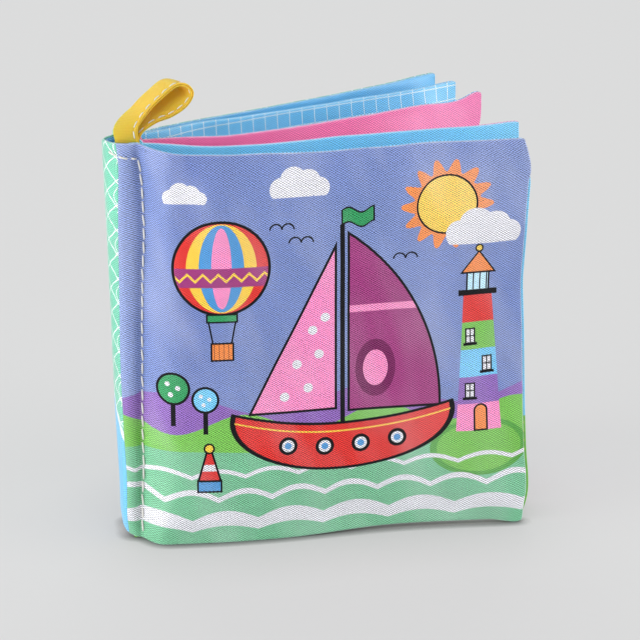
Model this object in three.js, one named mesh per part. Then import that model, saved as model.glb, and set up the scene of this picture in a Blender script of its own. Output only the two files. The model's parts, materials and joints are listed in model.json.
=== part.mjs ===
// Crinkle cloth book: two padded covers and three padded leaves sewn into a soft spine,
// standing on its lower edge and fanned open, with a ribbon loop at the top of the spine.
// Millimetres, +Z up. The front cover runs along +X, its outer face looks to -Y.
import * as THREE from 'three';

// Book block
const bookHeight = 130.2;
const leafWidth = 121;
const freeEdgeDrop = 2.2;
const topDraw = 1.3;
const cornerRadius = 5;

// Cloth, wadding and crinkle film
const clothThickness = 0.6;
const filmThickness = 0.3;
const layerGap = 0.3;
const fillingInset = 5;

// Spine
const spineStack = 18;
const spineTopDepth = 9.9;
const spineFootDepth = 7.6;
const spineRoundness = 3;
const spineClothThickness = 0.7;
const spineLiningThickness = 0.5;
const stripEndGap = 0.3;
const tabThickness = 1.2;
const tabEndGap = 0.35;

// Hinges at the stitch lines
const coverStartGap = 0.5;
const leafStartGap = 0.55;
const leafHingeReach = 1.5;

// Seats of the leaves' hinges in the stack, from the front
const leaf1Seat = 4.9;
const leaf2Seat = 8.6;
const leaf3Seat = 13.4;

// How far each pad swells on either side of its seam, and how far it bows out of its plane
const frontCoverPuff = 2.4;
const leafPuff = 1.3;
const backCoverPuff = 1.9;
const frontCoverBow = -6.5;
const leaf1Bow = -3.2;
const leaf2Bow = -5.5;
const leaf3Bow = 3;
const backCoverBow = 4.5;
const gutterRise = 24;
const edgeRise = 14;

// Covers and leaves, from front to back: the bow shares are where along the width the bow is
// full, where it starts to fall and where it ends
const coverAndLeaves = [
  {
    name: 'front_cover', frontCloth: 'front_cover_outer_cloth', backCloth: 'front_cover_inner_cloth',
    side: 1, seat: 0, turn: 0, puff: frontCoverPuff, bow: frontCoverBow, bowShares: [0.132, 0.298, 0.785],
    frontColour: 0x8a90cc, backColour: 0x5bbcec,
  },
  {
    name: 'leaf_1', frontCloth: 'leaf_1_front_cloth', backCloth: 'leaf_1_back_cloth',
    side: 0, seat: leaf1Seat, turn: 6.2, puff: leafPuff, bow: leaf1Bow, bowShares: [0.248, 0.298, 0.744],
    frontColour: 0x5bbcec, backColour: 0xf07ab5,
  },
  {
    name: 'leaf_2', frontCloth: 'leaf_2_front_cloth', backCloth: 'leaf_2_back_cloth',
    side: 0, seat: leaf2Seat, turn: 21, puff: leafPuff, bow: leaf2Bow, bowShares: [0.248, 0.331, 0.909],
    frontColour: 0xf07ab5, backColour: 0x5bbcec,
  },
  {
    name: 'leaf_3', frontCloth: 'leaf_3_front_cloth', backCloth: 'leaf_3_back_cloth',
    side: 0, seat: leaf3Seat, turn: 27.8, puff: leafPuff, bow: leaf3Bow, bowShares: [0.248, 0.331, 0.909],
    frontColour: 0x5bbcec, backColour: 0x5bbcec,
  },
  {
    name: 'back_cover', frontCloth: 'back_cover_inner_cloth', backCloth: 'back_cover_outer_cloth',
    side: -1, seat: spineStack, turn: 31.9, puff: backCoverPuff, bow: backCoverBow,
    bowShares: [0.132, 0.298, 0.785],
    frontColour: 0x5bbcec, backColour: 0x7fd6a8,
  },
];

// Places of the cloth's grid lines, as shares of the width and height between the filling's insets
const acrossShares = [0.055, 0.125, 0.24, 0.42, 0.62, 0.82, 0.94];
const upShares = [0.08, 0.24, 0.5, 0.76, 0.92];
const cornerShares = [0.5, 0.87, 1];

// Ribbon loop
const ribbonWidth = 8.6;
const ribbonBaseReach = 1.2;
const ribbonLiningGap = 0.5;
const ribbonThickness = 0.5;
const ribbonPlyPitch = 0.8;
const ribbonSeat = 2.5;
const ribbonTuck = 8;
const loopReach = 18;
const loopRise = 18;
const loopSetBack = 2;
const loopStandOff = 0.2;
const loopTurn = 60;
const loopTurnInShare = 0.2;
const loopSteps = 40;
// Near edge of the loop: shares of its reach, of its set back and of its rise
const loopRouteShares = [
  [-0.015, 0, 0], [-0.03, 0.1, 0.19], [0.16, 0.5, 0.5], [0.44, 0.8, 0.77], [0.72, 0.95, 0.97],
  [0.9, 1, 0.94], [0.985, 1, 0.8], [0.88, 1, 0.61], [0.6, 1, 0.44], [0.32, 0.95, 0.36],
  [0.09, 0.5, 0.17], [0, 0, 0],
];

// Helpers
const smooth = (t) => {
  const c = Math.min(Math.max(t, 0), 1);
  return c * c * (3 - 2 * c);
};

const lens = (distance, rise) => {
  const e = 1 - Math.min(Math.max(distance / rise, 0), 1);
  return Math.sqrt(1 - e * e);
};

const matt = 0.8;
const cloth = (colour, roughness = matt) => new THREE.MeshStandardMaterial({ color: colour, roughness, metalness: 0 });

// A closed sheet between two faces that share one grid: front and back give a point for row i, column j
function sheetSolid(rows, columns, front, back) {
  const points = [];
  for (const face of [front, back]) {
    for (let i = 0; i < rows; i += 1) {
      for (let j = 0; j < columns; j += 1) {
        points.push(...face(i, j));
      }
    }
  }
  const frontAt = (i, j) => i * columns + j;
  const backAt = (i, j) => rows * columns + i * columns + j;
  const triangles = [];
  const quad = (a, b, c, d) => triangles.push(a, b, c, a, c, d);
  for (let i = 0; i + 1 < rows; i += 1) {
    for (let j = 0; j + 1 < columns; j += 1) {
      quad(frontAt(i, j), frontAt(i, j + 1), frontAt(i + 1, j + 1), frontAt(i + 1, j));
      quad(backAt(i, j + 1), backAt(i, j), backAt(i + 1, j), backAt(i + 1, j + 1));
    }
  }
  for (let j = 0; j + 1 < columns; j += 1) {
    quad(frontAt(0, j + 1), frontAt(0, j), backAt(0, j), backAt(0, j + 1));
    quad(frontAt(rows - 1, j), frontAt(rows - 1, j + 1), backAt(rows - 1, j + 1), backAt(rows - 1, j));
  }
  for (let i = 0; i + 1 < rows; i += 1) {
    quad(frontAt(i, 0), frontAt(i + 1, 0), backAt(i + 1, 0), backAt(i, 0));
    quad(frontAt(i + 1, columns - 1), frontAt(i, columns - 1), backAt(i, columns - 1), backAt(i + 1, columns - 1));
  }
  const geometry = new THREE.BufferGeometry();
  geometry.setAttribute('position', new THREE.Float32BufferAttribute(points, 3));
  geometry.setIndex(triangles);
  geometry.computeVertexNormals();
  return geometry;
}

function addMesh(group, name, geometry, material) {
  const mesh = new THREE.Mesh(geometry, material);
  mesh.name = name;
  group.add(mesh);
  return mesh;
}

// One cover or leaf: two cloths sewn round their edge, with wadding and crinkle film between
const seamHalf = clothThickness + layerGap / 2;

function topAt(distance) {
  const share = distance / leafWidth;
  const fromCorner = Math.max(distance - (leafWidth - cornerRadius), 0);
  const corner = cornerRadius - Math.sqrt(Math.max(cornerRadius ** 2 - fromCorner ** 2, 0));
  const draw = topDraw * Math.sin(Math.PI * share);
  return bookHeight - freeEdgeDrop * share - draw - corner;
}

function footAt(distance) {
  const fromCorner = Math.max(distance - (leafWidth - cornerRadius), 0);
  return cornerRadius - Math.sqrt(Math.max(cornerRadius ** 2 - fromCorner ** 2, 0));
}

function pouch(spec) {
  const start = spec.side === 0 ? leafStartGap : coverStartGap;
  const innerStart = start + fillingInset;
  const innerEnd = leafWidth - fillingInset;
  const inner = acrossShares.map((share) => innerStart + share * (innerEnd - innerStart));
  const corners = cornerShares.map((share) => leafWidth - cornerRadius + share * cornerRadius);
  const stations = [start, innerStart, ...inner, innerEnd, ...corners];
  const insetShare = fillingInset / bookHeight;
  const levels = [0, insetShare, ...upShares.map((s) => insetShare + s * (1 - 2 * insetShare)), 1 - insetShare, 1];

  const [bowRise, bowHold, bowEnd] = spec.bowShares.map((share) => share * leafWidth);
  const middle = (distance) => {
    const swell = smooth(distance / bowRise) * (1 - smooth((distance - bowHold) / (bowEnd - bowHold)));
    return spec.side * seamHalf + spec.bow * swell;
  };
  const half = (distance, z) => {
    const across = Math.min(lens(distance - start, gutterRise), lens(leafWidth - distance, edgeRise));
    const along = Math.min(lens(z - footAt(distance), edgeRise), lens(topAt(distance) - z, edgeRise));
    return seamHalf + spec.puff * across * along;
  };
  const level = (i, distance) => footAt(distance) + levels[i] * (topAt(distance) - footAt(distance));
  const face = (offset, skip = 0) => (i, j) => {
    const distance = stations[j + skip];
    const z = level(i + skip, distance);
    return [distance, middle(distance) + offset(half(distance, z)), z];
  };

  const rows = levels.length;
  const columns = stations.length;
  const innerColumns = inner.length + 2;
  const innerRows = rows - 2;
  const fill = clothThickness + layerGap;
  const group = new THREE.Group();
  group.position.set(spec.side === 0 ? leafHingeReach : 0, spec.seat, 0);
  group.rotation.z = THREE.MathUtils.degToRad(spec.turn);

  addMesh(group, spec.frontCloth,
    sheetSolid(rows, columns, face((h) => -h), face((h) => clothThickness - h)), cloth(spec.frontColour));
  addMesh(group, spec.backCloth,
    sheetSolid(rows, columns, face((h) => h - clothThickness), face((h) => h)), cloth(spec.backColour));
  addMesh(group, `${spec.name}_wadding`,
    sheetSolid(innerRows, innerColumns, face((h) => fill - h, 1), face((h) => h - fill - filmThickness - layerGap, 1)),
    cloth(0xf2f0ea, 0.95));
  addMesh(group, `${spec.name}_crinkle_film`,
    sheetSolid(innerRows, innerColumns, face((h) => h - fill - filmThickness, 1), face((h) => h - fill, 1)),
    cloth(0xdfe6ea, 0.3));
  return group;
}

// Soft spine: a rounded C of cloth with its lining, open at the top and foot
const spineMiddle = spineStack / 2;
const spineSteps = 16;

// Half superellipse of the spine's section, inset from its outer face; round runs from -1, the
// front stitch line, to 1, the back one
function spinePoint(inset, round, depth, endGap) {
  const reach = depth - inset;
  const halfStack = spineMiddle - inset;
  const endAngle = Math.acos((endGap / reach) ** (spineRoundness / 2));
  const angle = round * endAngle;
  const power = 2 / spineRoundness;
  const x = -reach * Math.cos(angle) ** power;
  const y = spineMiddle + halfStack * Math.sign(angle) * Math.abs(Math.sin(angle)) ** power;
  return [x, y];
}

function spineShell(outerInset, thickness, endGap) {
  const levels = [[0, spineFootDepth], [bookHeight, spineTopDepth]];
  const face = (inset) => (i, j) => {
    const [z, depth] = levels[i];
    const [x, y] = spinePoint(inset, (2 * j) / spineSteps - 1, depth, endGap);
    return [x, y, z];
  };
  return sheetSolid(levels.length, spineSteps + 1, face(outerInset + thickness), face(outerInset));
}

// Place of the lining's inner face across the stack
function liningAt(depth, y) {
  const inset = spineClothThickness + layerGap + spineLiningThickness;
  const reach = depth - inset;
  const halfStack = spineMiddle - inset;
  const share = Math.abs(y - spineMiddle) / halfStack;
  return -reach * (1 - share ** spineRoundness) ** (1 / spineRoundness);
}

// A leaf's bound edge: from the lining to the hinge
function bindingTab(seat) {
  const lowest = seat - tabThickness / 2;
  const highest = seat + tabThickness / 2;
  const levels = [[0, spineFootDepth], [bookHeight, spineTopDepth]];
  const end = leafHingeReach - tabEndGap;
  const face = (y) => (i, j) => {
    const [z, depth] = levels[i];
    const seatX = Math.max(liningAt(depth, lowest), liningAt(depth, highest)) + layerGap;
    return [j === 0 ? seatX : end, y, z];
  };
  return sheetSolid(levels.length, 2, face(lowest), face(highest));
}

// Ribbon loop, sewn into the spine behind the front strip
const ribbonTuckShare = ribbonTuck / bookHeight;
const ribbonTuckDepth = spineTopDepth - ribbonTuckShare * (spineTopDepth - spineFootDepth);
const ribbonLeft = liningAt(ribbonTuckDepth, ribbonSeat) + ribbonLiningGap;
const ribbonBaseWidth = ribbonBaseReach - ribbonLeft;

function ribbonLoop() {
  const base = new THREE.Vector3(ribbonBaseReach, ribbonSeat + ribbonThickness / 2, bookHeight + loopStandOff);
  const last = loopRouteShares.length - 1;
  const route = loopRouteShares.map(([across, back, up], k) => new THREE.Vector3(
    base.x + across * loopReach,
    base.y + back * loopSetBack + (k / last) * ribbonPlyPitch,
    base.z + up * loopRise,
  ));
  const curve = new THREE.CatmullRomCurve3(route, false, 'centripetal');
  const upright = new THREE.Vector3(0, 0, 1);
  const rows = [];
  for (let k = 0; k <= loopSteps; k += 1) {
    const share = k / loopSteps;
    const near = curve.getPointAt(share);
    const tangent = curve.getTangentAt(share);
    if (k === 0) tangent.copy(upright);
    if (k === loopSteps) tangent.copy(upright).negate();
    const spread = smooth(Math.min(share, 1 - share) / loopTurnInShare);
    const turn = THREE.MathUtils.degToRad(loopTurn) * spread;
    const width = ribbonBaseWidth + (ribbonWidth - ribbonBaseWidth) * spread;
    const across = new THREE.Vector3(-Math.cos(turn), Math.sin(turn), 0);
    const normal = new THREE.Vector3().crossVectors(tangent, across).normalize();
    rows.push({ near, far: near.clone().addScaledVector(across, width), normal });
  }
  const face = (side) => (i, j) => {
    const row = rows[i];
    const point = (j === 0 ? row.far : row.near).clone();
    return point.addScaledVector(row.normal, (side * ribbonThickness) / 2).toArray();
  };
  return sheetSolid(rows.length, 2, face(1), face(-1));
}

function ribbonEnd(ply) {
  const frontFace = ribbonSeat + ply * ribbonPlyPitch;
  const top = bookHeight - loopStandOff / 2;
  const face = (y) => (i, j) => [j === 0 ? ribbonLeft : ribbonBaseReach, y, i === 0 ? top - ribbonTuck : top];
  return sheetSolid(2, 2, face(frontFace), face(frontFace + ribbonThickness));
}

// Assembly
const book = new THREE.Group();
addMesh(book, 'spine_cloth', spineShell(0, spineClothThickness, stripEndGap), cloth(0x86e3c0));
addMesh(book, 'spine_lining',
  spineShell(spineClothThickness + layerGap, spineLiningThickness, stripEndGap), cloth(0x2c5fa8));
for (const spec of coverAndLeaves) {
  if (spec.side === 0) addMesh(book, `${spec.name}_binding_tab`, bindingTab(spec.seat), cloth(0xe9eef2));
  book.add(pouch(spec));
}
addMesh(book, 'loop_front_end', ribbonEnd(0), cloth(0xf7cf45));
addMesh(book, 'loop_back_end', ribbonEnd(1), cloth(0xf7cf45));
addMesh(book, 'hanging_loop', ribbonLoop(), cloth(0xf7cf45));

// The origin is the middle of the foot of the whole book
const box = new THREE.Box3().setFromObject(book, true);
const centre = box.getCenter(new THREE.Vector3());
book.position.set(-centre.x, -centre.y, -box.min.z);

export default book;
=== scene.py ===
"""Crinkle cloth book: printed satin covers and padded leaves around a soft spine, with a ribbon loop."""
import json
import math

import bpy
import numpy as np
from mathutils import Matrix, Vector


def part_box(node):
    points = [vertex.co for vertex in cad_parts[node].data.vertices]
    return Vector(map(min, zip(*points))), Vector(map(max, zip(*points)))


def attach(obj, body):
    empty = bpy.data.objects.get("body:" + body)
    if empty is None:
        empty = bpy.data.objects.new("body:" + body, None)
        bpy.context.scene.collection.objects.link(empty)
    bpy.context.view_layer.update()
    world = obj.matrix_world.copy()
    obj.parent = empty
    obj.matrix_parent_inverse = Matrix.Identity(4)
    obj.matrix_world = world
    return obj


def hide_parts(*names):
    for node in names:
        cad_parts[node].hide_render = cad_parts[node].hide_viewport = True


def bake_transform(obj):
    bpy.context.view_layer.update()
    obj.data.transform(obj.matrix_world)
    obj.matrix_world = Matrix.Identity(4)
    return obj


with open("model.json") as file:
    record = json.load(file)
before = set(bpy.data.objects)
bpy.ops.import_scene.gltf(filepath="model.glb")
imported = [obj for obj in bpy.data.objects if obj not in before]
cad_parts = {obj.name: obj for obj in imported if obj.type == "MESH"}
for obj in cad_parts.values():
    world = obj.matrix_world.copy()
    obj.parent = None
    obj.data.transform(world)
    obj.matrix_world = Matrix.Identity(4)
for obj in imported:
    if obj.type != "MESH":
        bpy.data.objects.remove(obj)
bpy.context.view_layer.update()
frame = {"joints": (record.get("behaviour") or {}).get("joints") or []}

MM = 0.001
UP = np.array([0, 0, 1.0])
FRONT, BACK = -1, 1

# Sizes of the book, in millimetres, as in the solids
BOOK_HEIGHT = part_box("spine_cloth")[1].z / MM
LEAF_WIDTH = 121.0
FREE_EDGE_DROP = 2.2
TOP_DRAW = 1.3
TOP_CORNER_RADIUS = 1.2
FOOT_CORNER_RADIUS = 1.8
SEAM_HALF = 0.75
CLOTH_THICKNESS = 0.35
GUTTER_RISE = 24.0
EDGE_RISE = 13.0
EDGE_POWER = 0.72
SPINE_STACK = 18.0
SPINE_LEAN = 2.3
SPINE_DEPTHS = ((0, 6.7), (16, 6.75), (31, 7.3), (44, 7.8), (61, 8.25), (79, 8.7), (96, 9.05), (110, 9.55),
                (128, 10.1))
SPINE_ROUNDNESS = 3.0
STRIP_END_GAP = 0.3
LINING_INSET = 1.05
BACK_STRIP_WIDTH = 6.0

# The seam's folded lip: steps out of the outline and down towards the seam
LIP_OUT = 0.42
LIP_STEPS = ((0.2, 0.12), (0.37, 0.32), (0.4, 0.52), (0.24, 0.66), (-1.1, 0.69))

# Sewing; the stitches draw the cloth into a groove along their line
STITCH_PITCH = 4.4
STITCH_LENGTH = 3.85
THREAD_RADIUS = 0.33
GROOVE_DEPTH = 0.7
GROOVE_REACH = 1.2
TOP_RUN_HEIGHT = 125.0
TOP_RUN_SLOPE = 0.24
TOP_RUN = ((1.0, 2.0), (3.8, 2.9), (7.3, 3.2))


def hinge_place(joint):
    """The hinge's place in the stack, in millimetres of the row frame."""
    found = next(j for j in frame["joints"] if j["name"] == joint)
    return np.array(found["pos_m"]) / MM


FRONT_HINGE = hinge_place("front_cover_hinge")
BACK_HINGE = hinge_place("back_cover_hinge")
SPINE_MIDDLE = np.array([FRONT_HINGE[0], (FRONT_HINGE[1] + BACK_HINGE[1]) / 2, 0])

# Where the front stitch line runs across, and how wide the print is on the spine, by height
STITCH_LINE = ((0, -0.35), (18, 0.05), (23, 0.5), (27, 0.45), (32, 0.3), (45, 0.4), (60, 0.62),
               (71, 0.72), (81, 1.0), (86, 1.1), (91, 1.32), (97, 1.74), (101, 1.84), (105, 1.82),
               (110, 1.68), (113, 1.59), (117, 1.42), (119, 1.23), (122, 0.95), (125, 0.54), (130, 0.3))
STRIP_WIDTHS = ((0, 4.6), (5, 4.3), (19, 4.15), (25, 4.4), (32, 4.8), (41, 5.0), (52, 5.45), (62, 5.65),
                (93, 5.6), (106, 5.5), (113, 5.3), (122, 5.1), (126, 5.2), (130, 6.2))

# How far the spine's foot is drawn up, by the distance from its nearer stitch line
FOOT_LIFTS = ((0, 0), (2, 0.45), (5, 1.4), (8, 2.5), (14, 3.2))

# How far the top edges sag, and where the front cover's free edge runs
TOP_SAGS = {
    "front_cover": ((0, 0.1), (5, 0.5), (10, 1.15), (16, 1.5), (24, 1.4), (35, 1.15), (46, 1.15), (59, 1.2),
                    (66, 1.0), (80, 0.8), (92, -0.1), (107, 0.35), (121, 0.2)),
    "leaf_1": ((0, 1.1), (10, 1.5), (17, 1.9), (24, 1.9), (30, 1.7), (37, 1.25), (47, 0.7), (60, 0.25),
               (75, 0)),
    "leaf_2": ((0, 1.2), (11, 1.1), (19, 0.8), (27, 0.75), (34, 0.8), (45, 0.4), (57, 0.2), (70, 0.1)),
    "leaf_3": ((0, 0.4), (40, 0.3), (80, 0)),
    "back_cover": ((0, 1.9), (15, 2.1), (24, 1.85), (41, 1.6), (52, 1.3), (63, 0.8), (80, 0.2), (100, 0)),
}
FRONT_FREE_EDGE = ((0, 121.3), (3, 121.9), (10, 123.5), (16, 123.4), (24, 122.6), (40, 122.0), (65, 121.5),
                   (81, 120.9), (95, 121.9), (109, 122.7), (115, 123.2), (121, 122.9), (128, 120.7))

# Covers and leaves: turn in degrees, side of the seam, swell and bow in millimetres
PANELS = {
    "front_cover": {"turn": 0, "side": 1, "start": 0.5,
                    "puff": 2.4, "bow": -7.4, "bow_shares": (0.11, 0.27, 0.78)},
    "leaf_1": {"turn": 6.2, "side": 0, "start": 0.55,
               "puff": 1.3, "bow": -3.2, "bow_shares": (0.248, 0.298, 0.744)},
    "leaf_2": {"turn": 21, "side": 0, "start": 0.55,
               "puff": 1.3, "bow": -5.5, "bow_shares": (0.248, 0.331, 0.909)},
    "leaf_3": {"turn": 27.8, "side": 0, "start": 0.55,
               "puff": 1.3, "bow": 3, "bow_shares": (0.248, 0.331, 0.909)},
    "back_cover": {"turn": 31.9, "side": -1, "start": 0.5,
                   "puff": 1.9, "bow": 4.5, "bow_shares": (0.132, 0.298, 0.785)},
}
LEAVES = ("leaf_1", "leaf_2", "leaf_3")
for name, panel in PANELS.items():
    panel["name"] = name
    panel["hinge"] = hinge_place(f"{name}_hinge")
    panel["seed"] = 1 + list(PANELS).index(name)
    panel["way"] = np.array([math.cos(math.radians(panel["turn"])), math.sin(math.radians(panel["turn"])), 0])

# Dents and ridges that the photograph shows on the front cover: place, reach across and up, turn, height
FRONT_FOLDS = (
    (14, 113, 5, 13, 14, -1.5), (24, 119, 4, 9, 30, 1.0), (86, 114, 3.6, 17, -12, 1.7),
    (98, 111, 5, 17, -12, -1.6), (111, 60, 6, 26, 4, -0.9), (103, 50, 5, 22, 8, 0.7),
    (66, 96, 16, 16, 20, 0.8), (40, 50, 14, 20, -25, -0.9), (30, 7, 9, 5, 0, 0.5),
    (60, 6, 9, 5, 0, -0.7), (98, 8, 8, 5, 0, -0.7), (113, 12, 5, 8, 0, 0.8),
)


# Curves shared by the solids and the cloth
def smooth(t):
    c = np.clip(t, 0, 1)
    return c * c * (3 - 2 * c)


def bell(offset, reach):
    return np.exp(-(offset / reach) ** 2)


def lens(distance, rise, power=0.5):
    e = 1 - np.clip(distance / rise, 0, 1)
    return (1 - e * e) ** power


def unit(vectors):
    return vectors / np.linalg.norm(vectors, axis=-1, keepdims=True)


def walk(points):
    """Distances walked along a row of points."""
    return np.concatenate([[0], np.cumsum(np.linalg.norm(np.diff(points, axis=0), axis=1))])


def table_at(table, at):
    """Smoothed value of a table of (place, value) pairs."""
    places, values = np.array(table).T
    total = sum(np.interp(at + shift, places, values) for shift in (-2.4, -1.2, 0, 1.2, 2.4))
    return total / 5


def ripple(a, b, seed, length):
    """Smooth noise from -1 to 1 over two distances in millimetres."""
    random = np.random.default_rng(seed)
    total = np.zeros(np.broadcast(a, b).shape)
    waves = 7
    for _ in range(waves):
        angle = random.uniform(0, math.pi)
        wave = length * random.uniform(0.7, 1.6)
        phase = random.uniform(0, 2 * math.pi)
        total += np.sin(2 * math.pi * (a * math.cos(angle) + b * math.sin(angle)) / wave + phase)
    return total / waves


def corner_drop(s, radius):
    from_corner = np.clip(s - (LEAF_WIDTH - radius), 0, radius)
    return radius - np.sqrt(radius ** 2 - from_corner ** 2)


def top_at(panel, s):
    """Upper outline, with its sag; leaf 2 has a pulled-out corner."""
    share = np.clip(s, 0, None) / LEAF_WIDTH
    top = BOOK_HEIGHT - FREE_EDGE_DROP * share - TOP_DRAW * np.sin(math.pi * share)
    top = top - corner_drop(s, TOP_CORNER_RADIUS) - table_at(TOP_SAGS[panel["name"]], s)
    if panel["name"] == "leaf_2":
        top = top + 1.5 * bell(s - 119, 3) - 0.9 * bell(s - 109, 6)
    if panel["name"] == "leaf_1":
        top = top + 0.4 * smooth((s - 110) / 10)
    return top + 0.22 * ripple(s, 0 * s, 300 + panel["seed"], 21) * smooth(s / 20)


def foot_at(panel, s):
    """Lower outline; the front cover's foot arches a little off the floor towards its free edge."""
    arch = 1.3 * smooth((s - 45) / 35) * (1 - smooth((s - 110) / 9)) if panel["name"] == "front_cover" else 0
    return corner_drop(s, FOOT_CORNER_RADIUS) + arch


def sewn_heights(panel, s, share, inset=LIP_OUT):
    """Heights at a share of the way from the foot to the top of a panel."""
    foot, top = foot_at(panel, s) + inset, top_at(panel, s) - inset
    return foot + share * (top - foot)


def free_edge_shift(panel, face, s, z):
    """How far the free edge wanders outwards; the front cover's inner cloth rolls out past its print."""
    if panel["name"] == "front_cover":
        rolled = smooth((117 - z) / 3.5) * smooth(z / 8)
        shift = table_at(FRONT_FREE_EDGE, z) - LEAF_WIDTH
        shift = shift + (-0.75 * rolled if face == FRONT else -0.5 + 0.55 * rolled)
    else:
        pull = -1.1 * smooth((122 - z) / 7) * smooth((z - 85) / 20) if panel["name"] == "leaf_2" else 0
        shift = 0.4 * ripple(z, 0 * z, 320 + panel["seed"], 45) + pull
    return shift * smooth((s - 90) / 31)


def middle_of(panel, s, z):
    """Plane between a panel's two cloths, out of its own flat plane."""
    rise, hold, end = (share * LEAF_WIDTH for share in panel["bow_shares"])
    if panel["name"] == "front_cover":
        low = 1 - smooth(z / 30)
        t = np.clip(s / (12.5 - 7 * low), 0, 1)
        swell = (1 - (1 - t) ** (2 - 0.7 * low)) * (1 - smooth((s - 22) / 70))
    else:
        swell = smooth(s / rise) * (1 - smooth((s - hold) / (end - hold)))
    wander = 0.5 * ripple(s * 0.6, z, 40 + panel["seed"], 70) * smooth((s - 25) / 50)
    wave = 0.45 * ripple(s, 0 * s + 0 * z, 60 + panel["seed"], 24) * smooth((z - BOOK_HEIGHT + 30) / 30)
    return panel["side"] * SEAM_HALF + panel["bow"] * swell + wander + wave * smooth(s / 15)


def folds_at(s, z, folds):
    total = np.zeros(np.broadcast(s, z).shape)
    for across, up, reach_across, reach_up, turn, height in folds:
        c, n = math.cos(math.radians(turn)), math.sin(math.radians(turn))
        x, y = s - across, z - up
        total += height * bell(x * c + y * n, reach_across) * bell(y * c - x * n, reach_up)
    return total


# Sewn pouches blown up by cloth simulation, ten times their size: seams pull short puckers into the cloth
SIM_SCALE = 0.01
SIM_STEP = 4.5
SIM_FRAMES = 22
SIM_ROWS = int(round(BOOK_HEIGHT / SIM_STEP))
SIM_COLUMNS = int(round(LEAF_WIDTH / SIM_STEP))
SIM_CLOTH = {
    "quality": 6, "mass": 0.3, "tension_stiffness": 20, "compression_stiffness": 20, "shear_stiffness": 8,
    "bending_stiffness": 0.6, "vertex_group_mass": "pinned", "vertex_group_shrink": "near_rim",
    "shrink_min": -0.004, "shrink_max": -0.035, "use_pressure": True, "uniform_pressure_force": 4,
}
PUCKER_HEIGHT = 0.6
PUCKER_LIMIT = 2.2 * PUCKER_HEIGHT


def pouch(seed):
    """Two sheets sewn along one shared rim, a little apart, with a slight seeded unevenness."""
    random = np.random.default_rng(seed)
    points, faces, index = [], [], {}

    def key(face, i, j):
        return (0 if i in (0, SIM_ROWS) or j in (0, SIM_COLUMNS) else face, i, j)

    for face in (FRONT, BACK):
        for i in range(SIM_ROWS + 1):
            for j in range(SIM_COLUMNS + 1):
                if key(face, i, j) in index:
                    continue
                index[key(face, i, j)] = len(points)
                a, b = j / SIM_COLUMNS, i / SIM_ROWS
                bulge = 0
                if key(face, i, j)[0]:
                    bulge = 3.0 * (a * (1 - a) * b * (1 - b)) ** 0.5 + 0.2 + random.normal(0, 0.12)
                points.append((j * SIM_STEP * SIM_SCALE, face * bulge * SIM_SCALE, i * SIM_STEP * SIM_SCALE))
        for i in range(SIM_ROWS):
            for j in range(SIM_COLUMNS):
                round_cell = ((i, j), (i, j + 1), (i + 1, j + 1), (i + 1, j))
                corners = tuple(index[key(face, *at)] for at in round_cell)
                faces.append(corners if face == FRONT else corners[::-1])
    mesh = bpy.data.meshes.new("pouch")
    mesh.from_pydata(points, [], faces)
    mesh.update()
    obj = bpy.data.objects.new("pouch", mesh)
    bpy.context.scene.collection.objects.link(obj)
    near_rim = obj.vertex_groups.new(name="near_rim")
    pinned = obj.vertex_groups.new(name="pinned")
    for (_, i, j), vertex in index.items():
        steps_in = min(i, SIM_ROWS - i, j, SIM_COLUMNS - j)
        near_rim.add([vertex], max(0.0, 1 - steps_in / 3), "REPLACE")
        if steps_in == 0:
            pinned.add([vertex], 1.0, "REPLACE")
    return obj, index


def pouch_relief(seed):
    """Puckers of both sheets after the simulation, scaled to millimetres: {face: rows of heights}."""
    obj, index = pouch(seed)
    cloth = obj.modifiers.new("cloth", "CLOTH")
    for setting, value in SIM_CLOTH.items():
        setattr(cloth.settings, setting, value)
    cloth.settings.effector_weights.gravity = 0
    cloth.point_cache.frame_start = 1
    cloth.point_cache.frame_end = SIM_FRAMES
    scene = bpy.context.scene
    for frame_number in range(1, SIM_FRAMES + 1):
        scene.frame_set(frame_number)
    made = obj.evaluated_get(bpy.context.evaluated_depsgraph_get()).to_mesh()
    places = np.zeros(len(made.vertices) * 3)
    made.vertices.foreach_get("co", places)
    places = places.reshape(-1, 3) / SIM_SCALE
    found = {}
    for face in (FRONT, BACK):
        height = np.zeros((SIM_ROWS + 1, SIM_COLUMNS + 1))
        for i in range(1, SIM_ROWS):
            for j in range(1, SIM_COLUMNS):
                height[i, j] = places[index[(face, i, j)], 1] * face
        broad = height.copy()
        for _ in range(30):
            padded = np.pad(broad, 1, mode="edge")
            broad = (padded[:-2, 1:-1] + padded[2:, 1:-1] + padded[1:-1, :-2] + padded[1:-1, 2:]) / 4
        fine = height - broad
        fine = fine * PUCKER_HEIGHT / max(1e-6, fine[2:-2, 2:-2].std())
        found[face] = np.clip(fine, -PUCKER_LIMIT, PUCKER_LIMIT)
    mesh = obj.data
    bpy.data.objects.remove(obj)
    bpy.data.meshes.remove(mesh)
    scene.frame_set(1)
    return found


PUCKERS = {name: pouch_relief(500 + panel["seed"]) for name, panel in PANELS.items()}


def puckers_at(name, face, s, z):
    """The simulated puckers at places on a panel."""
    if name not in PUCKERS:
        return 0
    field = PUCKERS[name][face]
    a = np.clip(s / SIM_STEP, 0, SIM_COLUMNS - 0.001)
    b = np.clip(z / SIM_STEP, 0, SIM_ROWS - 0.001)
    j, i = a.astype(int), b.astype(int)
    x, y = smooth(a - j), smooth(b - i)
    low = field[i, j] * (1 - x) + field[i, j + 1] * x
    high = field[i + 1, j] * (1 - x) + field[i + 1, j + 1] * x
    return low * (1 - y) + high * y


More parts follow.
